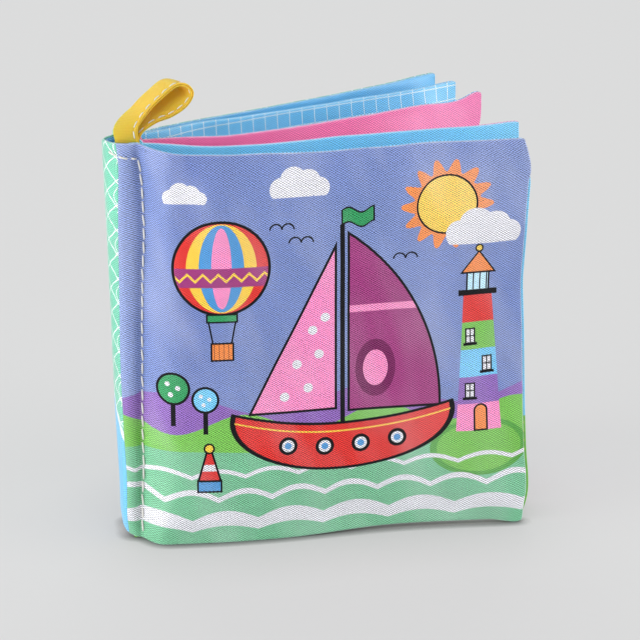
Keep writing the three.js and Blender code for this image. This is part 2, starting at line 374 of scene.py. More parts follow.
def half_of(panel, face, s, z):
    """Distance from the middle plane to the outside of one cloth, with its unevenness over the wadding."""
    foot, top = foot_at(panel, s) + LIP_OUT, top_at(panel, s) - LIP_OUT
    gutter = lens(s - panel["start"], GUTTER_RISE, 0.75 if panel["side"] == -face else 0.5)
    across = np.minimum(gutter, lens(LEAF_WIDTH - LIP_OUT - s, EDGE_RISE, EDGE_POWER))
    upward = np.minimum(lens(z - foot, EDGE_RISE, EDGE_POWER), lens(top - z, EDGE_RISE, EDGE_POWER))
    seed = panel["seed"] * 10 + (3 if face == FRONT else 7)
    soft = 0.42 * ripple(s, z, seed, 34) + 0.14 * ripple(s, z, seed + 1, 13)
    soft = soft + puckers_at(panel["name"], face, s, z)
    if panel["name"] == "front_cover" and face == FRONT:
        soft = soft + folds_at(s, z, FRONT_FOLDS)
    return SEAM_HALF + across * upward * (panel["puff"] + soft)


def groove(distance):
    return GROOVE_DEPTH * bell(distance, GROOVE_REACH)


def quilt(z):
    """How far the cloth rises between the stitches of a gutter line, from 0 to 1."""
    return 0.5 - 0.5 * np.cos(2 * math.pi * z / STITCH_PITCH)


def sewn_half_of(panel, face, s, z):
    """The same for a cover's print, which its gutter stitches draw in."""
    return half_of(panel, face, s, z) + 0.28 * quilt(z) * bell(s - panel["start"] - 1.4, 1.5) - groove(s)


def stitch_line_at(z):
    """The front sewn line wanders about the hinge."""
    return table_at(STITCH_LINE, z)


def place(panel, face, s, y, z):
    """Row-frame millimetres of a point of a panel; before its hinge it keeps the spine's direction."""
    moved = free_edge_shift(panel, face, s, z)
    if panel["name"] == "front_cover":
        moved = moved + stitch_line_at(z) * (1 - smooth((s - panel["start"]) / 9))
    turn = np.where(s >= 0, math.radians(panel["turn"]), 0.0)
    s = s + moved
    x0, y0, _ = panel["hinge"]
    return np.stack([x0 + s * np.cos(turn) - y * np.sin(turn), y0 + s * np.sin(turn) + y * np.cos(turn),
                     z + 0 * s], -1)


# The spine's section, walked by the distance along it
def spine_section(z, inset=0.0, steps=241):
    """Points and walked distances of the section at height z, from the front stitch line to the back one."""
    reach, half = float(table_at(SPINE_DEPTHS, z)) - inset, SPINE_STACK / 2 - inset
    end_angle = math.acos((STRIP_END_GAP / reach) ** (SPINE_ROUNDNESS / 2))
    angle = np.linspace(-end_angle, end_angle, steps)
    power = 2 / SPINE_ROUNDNESS
    beside = half * np.sign(angle) * np.abs(np.sin(angle)) ** power
    section = np.stack([-reach * np.cos(angle) ** power, beside], 1)
    return section, walk(section)


def on_section(section, walked, at):
    return np.stack([np.interp(at, walked, section[:, 0]), np.interp(at, walked, section[:, 1])], -1)


def foot_lift(distance, z):
    """How far the spine's foot is drawn up off the floor, by the distance from the nearer stitch line."""
    return table_at(FOOT_LIFTS, distance) * (1 - smooth(z / 28))


def far_rim_dip(share, z):
    """How far the spine's top sinks behind its roundest part."""
    on_far_side = smooth((share - 0.42) / 0.18) * smooth((0.97 - share) / 0.2)
    return 1.8 * on_far_side * smooth((z - BOOK_HEIGHT + 22) / 20)


def strip_points(z, distances, side):
    """Outer cloth on the spine, at distances from the stitch line on the front (-1) or back (+1) side."""
    section, walked = spine_section(z)
    along = distances if side == FRONT else walked[-1] - distances
    step = 0.05
    way = unit(on_section(section, walked, along + step) - on_section(section, walked, along - step))
    swell = 1.15 * np.sin(math.pi * np.clip(distances / 7.5, 0, 1)) ** 0.9 - groove(distances)
    swell = swell + 0.2 * quilt(z) * bell(distances - 1.3, 1.2)
    crumple = ripple(distances * 2, np.full_like(distances, z), 90 + side, 26)
    swell = swell + 0.2 * crumple * smooth(distances / 3)
    edge = smooth(z / 9) * smooth((BOOK_HEIGHT - z) / 6)
    swell = swell * (0.3 + 0.7 * edge) - 0.5 * (1 - smooth(z / 5)) * smooth(distances / 4)
    points = on_section(section, walked, along) + np.stack([-way[:, 1], way[:, 0]], -1) * swell[:, None]
    if side == FRONT:
        points[:, 0] += stitch_line_at(z) * (1 - smooth(distances / 5))
    return SPINE_MIDDLE + np.column_stack([points, z + foot_lift(distances, z)])


def strip_width_at(z, side=FRONT):
    """Width of a cover's print on the spine, from the stitch line."""
    return float(table_at(STRIP_WIDTHS, z)) if side == FRONT else BACK_STRIP_WIDTH


# Meshes: grids of points, and faces between rows of vertex numbers
def graded(start, end, step, zone=6.0, turns=5):
    """Stations from start to end, closer together near both of them."""
    quarter = [zone * (1 - math.cos(math.pi / 2 * k / turns)) for k in range(turns)]
    count = max(1, round((end - start - 2 * zone) / step))
    inner = np.linspace(start + zone, end - zone, count + 1)
    return np.array([*(start + d for d in quarter), *inner, *(end - d for d in reversed(quarter))])


UV_SPAN = 200.0
UV_SHIFT = (60.0, 30.0)


def new_object(name, points, faces, uv=None, rim=None):
    """A mesh object from row-frame millimetres, with its UV map in millimetres over UV_SPAN."""
    mesh = bpy.data.meshes.new(name)
    mesh.from_pydata((np.asarray(points) * MM).tolist(), [], faces)
    mesh.validate()
    mesh.update()
    if uv is not None:
        corners = np.zeros(len(mesh.loops), dtype=np.int32)
        mesh.loops.foreach_get("vertex_index", corners)
        spread = (np.asarray(uv)[corners] + np.array(UV_SHIFT)) / UV_SPAN
        mesh.uv_layers.new(name="Cloth").data.foreach_set("uv", spread.astype(np.float32).ravel())
    if rim is not None:
        mesh.attributes.new("seam", "FLOAT", "POINT").data.foreach_set("value", rim.astype(np.float32))
    mesh.shade_smooth()
    obj = bpy.data.objects.new(name, mesh)
    bpy.context.scene.collection.objects.link(obj)
    return obj


def between(rows, flip=False):
    """Faces between each row of vertex numbers and the next."""
    faces = []
    for low, high in zip(rows, rows[1:]):
        for k in range(len(low) - 1):
            quad = tuple(int(v) for v in (low[k], low[k + 1], high[k + 1], high[k]))
            faces.append(quad[::-1] if flip else quad)
    return faces


def tube(rings, flip=False):
    """Faces round a tube of rings of vertex numbers, with its two ends."""
    ends = [tuple(int(v) for v in rings[0][::-1]), tuple(int(v) for v in rings[-1])]
    return between([[*ring, ring[0]] for ring in rings], flip) + [end[::-1] if flip else end for end in ends]


def grid(rows, count, offset=0):
    return offset + np.arange(rows * count).reshape(rows, count)


def smoothed(obj, keep_corners=False):
    smoothing = obj.modifiers.new("smooth", "SUBSURF")
    smoothing.levels = smoothing.render_levels = 1
    if keep_corners:
        smoothing.boundary_smooth = "PRESERVE_CORNERS"
    return obj


def thicken(obj, thickness):
    """Smooths a sheet and gives it its thickness on the inside."""
    shell = smoothed(obj, keep_corners=True).modifiers.new("thickness", "SOLIDIFY")
    shell.thickness = thickness * MM
    shell.offset = -1
    shell.use_rim = True
    return obj


class Cloth:
    """A cloth in the making: points, places on the print, distances from the sewn outline, and faces."""

    def __init__(self, points, uv, rim, flip):
        self.parts = [(np.reshape(points, (-1, 3)), np.reshape(uv, (-1, 2)), np.ravel(rim))]
        self.size = np.size(rim)
        self.faces = between(grid(*np.shape(rim)), flip)

    def joined(self):
        return [np.concatenate(values) for values in zip(*self.parts)]

    def add_lip(self, path, outward, inward, uv_out, flip):
        """Folds a lip over along an edge that is given by its vertex numbers."""
        points, uv, _ = self.joined()
        rings, walked, last = [path], 0, (0, 0)
        for out, deep in LIP_STEPS:
            walked += math.dist((out, deep), last)
            last = (out, deep)
            self.parts.append((points[path] + outward * out + inward * deep, uv[path] + uv_out * walked,
                               np.full(len(path), -walked)))
            rings.append(range(self.size, self.size + len(path)))
            self.size += len(path)
        self.faces += between(rings, flip)

    def made(self, name):
        points, uv, rim = self.joined()
        return thicken(new_object(name, points, self.faces, uv, rim), CLOTH_THICKNESS)


# Cover and leaf cloths
def cover_uv(s, z):
    return np.stack([s, z + 0 * s], -1)


def back_uv(s, z):
    """The back cover's cloth goes on from the spine's, so it counts on from there."""
    total = np.array([spine_section(float(level))[1][-1] for level in np.atleast_1d(z + 0 * s)])
    return np.stack([-total - s, z + 0 * s], -1)


def cloth_piece(name, body, face, columns, levels, on_spine=False, uv_of=cover_uv):
    """One cloth of a panel: its swollen face, its way into the gutter, and the folded lip round its seam.

    columns are distances from the hinge, below zero on the spine; levels are shares of the height."""
    panel = PANELS[body]
    start = panel["start"]
    across = -face * np.cross(UP, panel["way"])
    rows, count = len(levels), len(columns)
    points, uv, rim = np.zeros((rows, count, 3)), np.zeros((rows, count, 2)), np.zeros((rows, count))
    on_panel = columns >= start
    s, before = columns[on_panel], columns[~on_panel]
    for i, share in enumerate(levels):
        z = sewn_heights(panel, s, share)
        half = (sewn_half_of if on_spine else half_of)(panel, face, s, z)
        points[i, on_panel] = place(panel, face, s, middle_of(panel, s, z) + face * half, z)
        uv[i, on_panel] = uv_of(s, z)
        to_foot, to_top = z - foot_at(panel, s) - LIP_OUT, top_at(panel, s) - LIP_OUT - z
        rim[i, on_panel] = np.minimum(np.minimum(to_foot, to_top), LEAF_WIDTH - LIP_OUT - s)
        level = LIP_OUT + share * (BOOK_HEIGHT - 2 * LIP_OUT)
        if on_spine:
            distances = before / columns[0] * strip_width_at(level, face)
            points[i, ~on_panel] = strip_points(level, distances, face)
            uv[i, ~on_panel] = uv_of(-distances, np.full_like(before, level))
        else:
            tucked = panel["side"] * SEAM_HALF + face * (SEAM_HALF - 0.12 * smooth(-before))
            points[i, ~on_panel] = place(panel, face, before, tucked, level)
            uv[i, ~on_panel] = uv_of(before, np.full_like(before, level))
        rim[i, ~on_panel] = min(level - LIP_OUT, BOOK_HEIGHT - LIP_OUT - level)
    flip = face == BACK
    cloth = Cloth(points, uv, rim, flip)
    numbers = grid(rows, count)
    path = np.array([*numbers[-1], *numbers[-2::-1, -1], *numbers[0, -2::-1]])
    inside = [*numbers[-2], *numbers[-2::-1, -2], *numbers[1, -2::-1]]
    edge, inner = points.reshape(-1, 3)[path], points.reshape(-1, 3)[inside]
    edge_uv, inner_uv = uv.reshape(-1, 2)[path], uv.reshape(-1, 2)[inside]
    tangent = np.gradient(edge, axis=0)
    tangent[0], tangent[-1] = tangent[1], tangent[-2]
    inward = np.tile(across, (len(path), 1))
    for k, (i, j) in enumerate(zip(*np.divmod(path, count))):
        if columns[j] < start and on_spine:
            nearby = points[i, min(j + 1, count - 1)] - points[i, max(j - 1, 0)]
            inward[k] = unit(np.cross(UP, nearby) * -face)
    outward = unit(np.cross(unit(tangent), inward))
    outward *= np.sign(np.sum(outward * (edge - inner), axis=1).mean())
    cloth.add_lip(path, outward, inward, unit(edge_uv - inner_uv), flip)
    return cloth.made(name)


HEIGHT_SHARES = graded(0, BOOK_HEIGHT, 2.2) / BOOK_HEIGHT
STITCHED_SHARES = graded(0, BOOK_HEIGHT, STITCH_PITCH / 4) / BOOK_HEIGHT


def columns_of(body, spread, step):
    return np.concatenate([spread, graded(PANELS[body]["start"], LEAF_WIDTH - LIP_OUT, step)])


def page_piece(body, face, tuck, node):
    columns = columns_of(body, np.linspace(-tuck, PANELS[body]["start"] - 0.3, 4), 2.2)
    return cloth_piece(f"{node}_page", body, face, columns, HEIGHT_SHARES)


CLOTHS = {
    "front_cover_outer_cloth": cloth_piece(
        "front_cover_outer_cloth_print", "front_cover", FRONT,
        columns_of("front_cover", -np.linspace(6.8, 0.25, 9), 2.0), STITCHED_SHARES, on_spine=True),
    "back_cover_outer_cloth": cloth_piece(
        "back_cover_outer_cloth_print", "back_cover", BACK,
        columns_of("back_cover", -np.linspace(BACK_STRIP_WIDTH, 0.25, 8), 2.0), STITCHED_SHARES, on_spine=True,
        uv_of=back_uv),
    "front_cover_inner_cloth": page_piece("front_cover", BACK, 2.5, "front_cover_inner_cloth"),
}
for leaf in LEAVES:
    for side, face in (("front", FRONT), ("back", BACK)):
        CLOTHS[f"{leaf}_{side}_cloth"] = page_piece(leaf, face, 1.6, f"{leaf}_{side}_cloth")
CLOTHS["back_cover_inner_cloth"] = page_piece("back_cover", FRONT, 2.5, "back_cover_inner_cloth")


# Spine
def spine_piece():
    """Mint lattice cloth round the spine, between the edges of the two cover prints."""
    shares = np.linspace(0, 1, 25)
    points, uv, rim = [], [], []
    for share in STITCHED_SHARES:
        level = LIP_OUT + share * (BOOK_HEIGHT - 2 * LIP_OUT)
        total = spine_section(level)[1][-1]
        low, high = strip_width_at(level), total - BACK_STRIP_WIDTH
        walked = low + (high - low) * shares
        change = smooth((walked / total - 0.3) / 0.4)[:, None]
        from_front = strip_points(level, walked, FRONT)
        from_back = strip_points(level, total - walked, BACK)
        row = from_front * (1 - change) + from_back * change
        row[:, 2] -= far_rim_dip(walked / total, level)
        points.append(row)
        uv.append(cover_uv(-walked, level))
        rim.append(np.full_like(walked, min(level - LIP_OUT, BOOK_HEIGHT - LIP_OUT - level)))
    cloth = Cloth(points, uv, rim, flip=True)
    numbers = grid(*np.shape(rim))
    for row, way in ((-1, 1), (0, -1)):
        inward = -unit(np.cross(UP, np.gradient(points[row], axis=0)))
        cloth.add_lip(numbers[row], way * UP, inward, np.array([0, way]), flip=way == 1)
    return cloth.made("spine_cloth_lattice")


def lining_piece():
    """Blue lining inside the spine."""
    shares = np.linspace(0.02, 0.98, 33)
    points, uv = [], []
    levels = np.linspace(0.9, BOOK_HEIGHT - 0.35, 50)
    for level in levels:
        section, walked = spine_section(level, LINING_INSET)
        at = shares * walked[-1]
        x, y = on_section(section, walked, at).T
        x = x + 0.12 * ripple(at, np.full_like(at, level), 71, 15)
        height = level - far_rim_dip(shares, level) + foot_lift(np.minimum(at, walked[-1] - at), level)
        points += [*(SPINE_MIDDLE + np.stack([x, y, height], -1))]
        uv += [*cover_uv(at, level)]
    faces = between(grid(len(levels), len(shares)), flip=True)
    return thicken(new_object("spine_lining_cloth", points, faces, uv), 0.4)


def tab_piece(leaf):
    """Bound edge of a leaf: a folded tape over the cloths' ends."""
    low, high = (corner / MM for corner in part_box(f"{leaf}_binding_tab"))
    middle, half = (low.y + high.y) / 2, (high.y - low.y) / 2
    side = [(high.x, 1), (high.x - 0.4, 1), (low.x + 1.6, 0.95), (low.x + 0.9, 0.8), (low.x + 0.62, 0.4)]
    profile = np.array([*((x, -half * share) for x, share in side), (low.x + 0.55, 0),
                        *((x, half * share) for x, share in side[::-1])])
    levels = np.linspace(3.6, BOOK_HEIGHT - 3.4, 60)
    points, uv = [], []
    for level in levels:
        lean = SPINE_LEAN * (1 - level / BOOK_HEIGHT) * (high.x - profile[:, 0]) / (high.x - low.x)
        points += [(x + shift, middle + y, level) for (x, y), shift in zip(profile, lean)]
        uv += [(walked, level) for walked in walk(profile)]
    faces = between(grid(len(levels), len(profile)), flip=True)
    return thicken(new_object(f"{leaf}_bound_edge_tape", points, faces, uv), 0.25)


spine_cloth = spine_piece()
spine_lining = lining_piece()
TABS = {leaf: tab_piece(leaf) for leaf in LEAVES}


# Wadding and crinkle film inside each panel
FILLING_INSET = 5.5
FILLING_ROOM = CLOTH_THICKNESS + 0.35


def filling_piece(body, kind, room_shares, crinkle):
    """A closed pad between two shares of the room inside a panel's cloths."""
    panel = PANELS[body]
    s = graded(panel["start"] + FILLING_INSET, LEAF_WIDTH - FILLING_INSET, 4.0, zone=4.0, turns=3)
    levels = graded(0, BOOK_HEIGHT, 4.0, zone=4.0, turns=3) / BOOK_HEIGHT
    points = []
    for room_share in room_shares:
        for share in levels:
            z = sewn_heights(panel, s, share, FILLING_INSET)
            front = -half_of(panel, FRONT, s, z) + FILLING_ROOM
            back = half_of(panel, BACK, s, z) - FILLING_ROOM
            y = middle_of(panel, s, z) + front + (back - front) * room_share
            y = y + crinkle * ripple(s, z, 200 + panel["seed"], 9)
            points += [*place(panel, BACK, s, y, z)]
    low = grid(len(levels), len(s))
    high = low + low.size
    loop = np.array([*low[0], *low[1:, -1], *low[-1, -2::-1], *low[-2::-1, 0]])
    faces = between(low) + between(high, flip=True) + between([loop, loop + low.size], flip=True)
    uv = np.stack([np.tile(s, len(levels)), np.repeat(levels * BOOK_HEIGHT, len(s))], -1)
    return smoothed(new_object(f"{body}_{kind}", points, faces, np.concatenate([uv, uv])))


WADDINGS = {body: filling_piece(body, "wadding_pad", (0.0, 0.72), 0.0) for body in PANELS}
FILMS = {body: filling_piece(body, "crinkle_film_sheet", (0.86, 0.9), 0.12) for body in PANELS}


# Thread
def stitches(name, sewn, radius=THREAD_RADIUS, sink=0.05):
    """Short stitches from (place, way, up, length): arched threads whose ends dive into the cloth."""
    rings, sides = 9, 8
    turns = 2 * math.pi * np.arange(sides) / sides
    points, faces, uv = [], [], []
    for middle, way, up, length in sewn:
        way = unit(np.array(way))
        up = unit(np.array(up) - way * np.dot(up, way))
        over = np.cross(way, up)
        faces += tube(grid(rings, sides, len(points)))
        for t in np.linspace(-1, 1, rings):
            arch = (1 - abs(t) ** 3.2) * (radius + sink + 0.1) - sink - radius * 0.6
            thin = radius * (1 - 0.35 * abs(t) ** 4)
            centre = np.array(middle) + way * (t * length / 2) + up * arch
            for turn in turns:
                points.append(centre + (over * math.cos(turn) + up * math.sin(turn)) * thin)
                uv.append((t * length / 2 + 10, turn * radius))
    return new_object(name, points, faces, uv)


def gutter_stitches(name, body, side):
    """Lockstitch down a gutter, with a short run across the strip near its top."""
    random = np.random.default_rng(5 + side)
    sewn = []
    panel = PANELS[body]
    edge = np.array([panel["start"]])
    for k in range(int(TOP_RUN_HEIGHT / STITCH_PITCH)):
        z = TOP_RUN_HEIGHT - (k + 0.5) * STITCH_PITCH
        on_strip = strip_points(z, np.array([0.25]), side)[0]
        depth = middle_of(panel, edge, z) + side * sewn_half_of(panel, side, edge, z)
        on_cover = place(panel, side, edge, depth, z)[0]
        slope = (stitch_line_at(z + 1.5) - stitch_line_at(z - 1.5)) / 3 if side == FRONT else 0
        sewn.append((on_strip * 0.55 + on_cover * 0.45 + np.array([0.12, side * 0.22, 0]),
                     (slope - 0.07 + random.normal(0, 0.03), 0, 1), (0, side, 0), STITCH_LENGTH))
    for distance, length in TOP_RUN:
        z = TOP_RUN_HEIGHT + 0.1 + TOP_RUN_SLOPE * distance + random.normal(0, 0.05)
        here = strip_points(z, np.array([distance - 0.5, distance, distance + 0.5]), side)
        way = unit(here[2] - here[0])
        out = unit(np.cross(way, UP)) * side
        sewn.append((here[1] + out * 0.12, way + TOP_RUN_SLOPE * UP, out, length))
    return stitches(name, sewn)


front_stitches = gutter_stitches("front_gutter_stitches", "front_cover", FRONT)
back_stitches = gutter_stitches("back_gutter_stitches", "back_cover", BACK)


# Ribbon loop
RIBBON_WIDTH = 8.6
RIBBON_BASE_WIDTH = 7.4
RIBBON_SEAT = np.array([1.2, 2.75, 0.2])
RIBBON_TUCK = 7.5
RIBBON_TUCK_STEPS = 8
RIBBON_PLY_PITCH = 0.8
RIBBON_STITCH_PITCH = 3.3
RIBBON_STITCH_SHARE = 0.152
LOOP_REACH, LOOP_SET_BACK, LOOP_RISE = 17.1, 2.0, 17.0
LOOP_TWIST = 0.55
LOOP_TURN = 60.0
LOOP_TURN_IN_SHARE = 0.2
LOOP_ROUTE = (
    (-0.015, 0, 0), (-0.03, 0.1, 0.19), (0.16, 0.5, 0.5), (0.44, 0.8, 0.77), (0.72, 0.95, 0.97),
    (0.9, 1, 0.94), (0.985, 1, 0.8), (0.88, 1, 0.58), (0.6, 1, 0.38), (0.32, 0.95, 0.28),
    (0.09, 0.5, 0.13), (0, 0, 0),
)
# Ribbon section: a tape folded along its far edge and sewn along its near one, where two rolled lips meet
RIBBON_SECTION = ((0.05, 0.0), (0.008, 0.14), (-0.006, 0.36), (0.014, 0.56), (0.055, 0.6), (0.1, 0.48),
                  (0.135, 0.26), (0.155, 0.2), (0.18, 0.25), (0.24, 0.33), (0.5, 0.36), (0.8, 0.34),
                  (0.94, 0.3), (0.987, 0.2), (1.0, 0.0))


def spline_through(knots, steps):
    """Centripetal spline through knots, sampled evenly by its length."""
    padded = np.concatenate([[2 * knots[0] - knots[1]], knots, [2 * knots[-1] - knots[-2]]])
    dense = []
    for k in range(1, len(padded) - 2):
        p = padded[k - 1:k + 3]
        t = np.concatenate([[0], np.cumsum(np.linalg.norm(np.diff(p, axis=0), axis=1) ** 0.5)])
        at = np.linspace(t[1], t[2], 30, endpoint=False)[:, None]
        for spans in (((0, 1), (1, 2), (2, 3)), ((0, 2), (1, 3)), ((1, 2),)):
            p = [((t[b] - at) * p[i] + (at - t[a]) * p[i + 1]) / (t[b] - t[a])
                 for i, (a, b) in enumerate(spans)]
        dense.append(p[0])
    dense = np.concatenate([*dense, knots[-1:]])
    walked = walk(dense)
    even = np.linspace(0, walked[-1], steps)
    return np.stack([np.interp(even, walked, dense[:, k]) for k in range(3)], -1)


def loop_frames():
    """Near edge, direction across, outward normal, width and walked distances, tucked ends included."""
    a, b, c = np.array(LOOP_ROUTE).T
    ply = np.linspace(0, RIBBON_PLY_PITCH, len(LOOP_ROUTE))
    origin = np.array([FRONT_HINGE[0], FRONT_HINGE[1], BOOK_HEIGHT]) + RIBBON_SEAT
    near = spline_through(origin + np.stack([a * LOOP_REACH, b * LOOP_SET_BACK + ply, c * LOOP_RISE], -1), 97)
    tangent = np.gradient(near, axis=0)
    tangent[0], tangent[-1] = UP, -UP
    share = np.linspace(0, 1, len(near))
    spread = smooth(np.minimum(share, 1 - share) / LOOP_TURN_IN_SHARE)
    turn = np.radians(LOOP_TURN) * spread
    width = RIBBON_BASE_WIDTH + (RIBBON_WIDTH - RIBBON_BASE_WIDTH) * spread
    twist = LOOP_TWIST * smooth((share - 0.5) / 0.18) * smooth((0.97 - share) / 0.2)
    across = unit(np.stack([-np.cos(turn), np.sin(turn), twist], -1))
    ends = (RIBBON_TUCK_STEPS, RIBBON_TUCK_STEPS)
    tangent, across = (np.pad(values, (ends, (0, 0)), mode="edge") for values in (unit(tangent), across))
    down = UP * np.linspace(RIBBON_TUCK, RIBBON_TUCK / RIBBON_TUCK_STEPS, RIBBON_TUCK_STEPS)[:, None]
    near = np.concatenate([near[0] - down, near, near[-1] - down[::-1]])
    normal = unit(np.cross(tangent, across))
    return near, across, normal, tangent, np.pad(width, ends, mode="edge"), walk(near)


def ribbon_piece():
    near, across, normal, _, width, walked = loop_frames()
    section = np.array([*RIBBON_SECTION, *((share, -offset) for share, offset in RIBBON_SECTION[-2:0:-1])])
    points, uv = [], []
    for k in range(len(near)):
        end_share = smooth(min(walked[k], walked[-1] - walked[k]) / 9)
        offset = section[:, 1] * (0.62 + 0.38 * end_share) + 0.2 * np.sin(math.pi * section[:, 0])
        points += [*(near[k] + across[k] * (section[:, 0] * width[k])[:, None] + normal[k] * offset[:, None])]
        uv += [(walked[k], share * RIBBON_WIDTH) for share in section[:, 0]]
    return smoothed(new_object("ribbon_loop", points, tube(grid(len(near), len(section)), flip=True), uv))


def ribbon_stitches():
    """Stitches just inside the rolled lips, on both faces of the ribbon."""
    near, across, normal, tangent, width, walked = loop_frames()
    sewn = []
    for at in np.arange(RIBBON_TUCK + 1.2, walked[-1] - RIBBON_TUCK, RIBBON_STITCH_PITCH):
        k = int(np.searchsorted(walked, at))
        spot = near[k] + across[k] * (RIBBON_STITCH_SHARE * width[k])
        for side in (1, -1):
            sewn.append((spot + normal[k] * (side * 0.2 + 0.09), tangent[k], normal[k] * side, 2.5))
    return stitches("ribbon_loop_stitches", sewn, radius=0.21)


ribbon = ribbon_piece()
ribbon_thread = ribbon_stitches()


# Shader nodes, written as sums
class Value:
    """A number or colour worked out by nodes; the usual signs add nodes to it."""

    def __init__(self, ink, socket):
        self.ink = ink
        self.socket = socket

    def __add__(self, other):
        return self.ink.math("ADD", self, other)

    def __radd__(self, other):
        return self.ink.math("ADD", other, self)

    def __sub__(self, other):
        return self.ink.math("SUBTRACT", self, other)

    def __rsub__(self, other):
        return self.ink.math("SUBTRACT", other, self)

    def __mul__(self, other):
        return self.ink.math("MULTIPLY", self, other)

    def __abs__(self):
        return self.ink.math("ABSOLUTE", self)


class Place(Value):
    """A place on the cloth."""

    def __sub__(self, other):
        return self.ink.vector("SUBTRACT", self, (*other, 0))

    def __truediv__(self, other):
        return self.ink.vector("DIVIDE", self, (*other, 1))

    def parts(self):
        return [self.ink.node("SeparateXYZ", (self,), output=k) for k in (0, 1)]

    def length(self):
        return self.ink.vector("LENGTH", self)

    def to(self, x, y):
        return self.ink.vector("DISTANCE", self, (x, y, 0))


class Ink:
    """The nodes of one material or world."""

    def __init__(self, holder):
        holder.use_nodes = True
        self.holder = holder
        self.nodes, self.links = holder.node_tree.nodes, holder.node_tree.links
        self.nodes.clear()

    def feed(self, socket, value):
        if isinstance(value, Value):
            self.links.new(value.socket, socket)
        elif socket.type == "RGBA":
            socket.default_value = (*value, 1.0)
        else:
            socket.default_value = value

    def node(self, kind, inputs=(), output=0, **settings):
        """The named or numbered output of a new node, with its inputs by number or by name."""
        node = self.nodes.new(f"ShaderNode{kind}")
        for name, value in settings.items():
            setattr(node, name, value)
        for key, value in inputs.items() if isinstance(inputs, dict) else enumerate(inputs):
            self.feed(node.inputs[key], value)
        return Value(self, node.outputs[output]) if node.outputs else None

    def math(self, operation, *values, clamp=False):
        return self.node("Math", values, operation=operation, use_clamp=clamp)

    def vector(self, operation, *values):
        if operation in ("DISTANCE", "LENGTH", "DOT_PRODUCT"):
            return self.node("VectorMath", values, "Value", operation=operation)
        return Place(self, self.node("VectorMath", values, "Vector", operation=operation).socket)

    def mix(self, share, below, above, kind="MIX"):
        return self.node("Mix", {0: share, 6: below, 7: above}, 2, data_type="RGBA", blend_type=kind)

    def noise(self, vector, scale, detail=2.0, roughness=0.5):
        inputs = {"Vector": vector, "Scale": scale, "Detail": detail, "Roughness": roughness}
        return self.node("TexNoise", inputs, "Fac")


def most(*values):
    """The largest of the values: what all shapes share."""
    total = values[0]
    for other in values[1:]:
        total = total.ink.math("MAXIMUM", total, other)
    return total


def least(*values):
    """The smallest of the values: what any shape covers."""
    total = values[0]
    for other in values[1:]:
        total = total.ink.math("MINIMUM", total, other)
    return total


def rgb(code):
    """Linear colour of a written one."""
    values = [int(code[k:k + 2], 16) / 255 for k in (0, 2, 4)]
    return tuple(v / 12.92 if v <= 0.04045 else ((v + 0.055) / 1.055) ** 2.4 for v in values)


# Colours of the prints
INK_BLACK = (0.012, 0.012, 0.014)
PERIWINKLE = rgb("7487be")
LIME = rgb("74bb4c")
MINT = rgb("74b991")
LATTICE_MINT = rgb("6fc6a8")
LATTICE_WHITE = rgb("e9f2ee")
WHITE = rgb("dcdbe2")
LIGHT_BLUE = rgb("6fc1ee")
PINK = rgb("f289bf")
RED = rgb("d8251f")
PLUM = rgb("9c2e78")
DARK_PLUM = rgb("741d58")
ORANGE = rgb("ee8534")
YELLOW = rgb("f2c83e")
ROYAL = rgb("3f90cf")
PURPLE = rgb("8a62b2")
GREEN = rgb("1f9455")
CLOUD_PUFFS = ((-1.0, 0, 0.62), (-0.35, 0.42, 0.72), (0.42, 0.3, 0.66), (1.02, 0.0, 0.52), (0.0, -0.1, 0.7))
TURN = 2 * math.pi


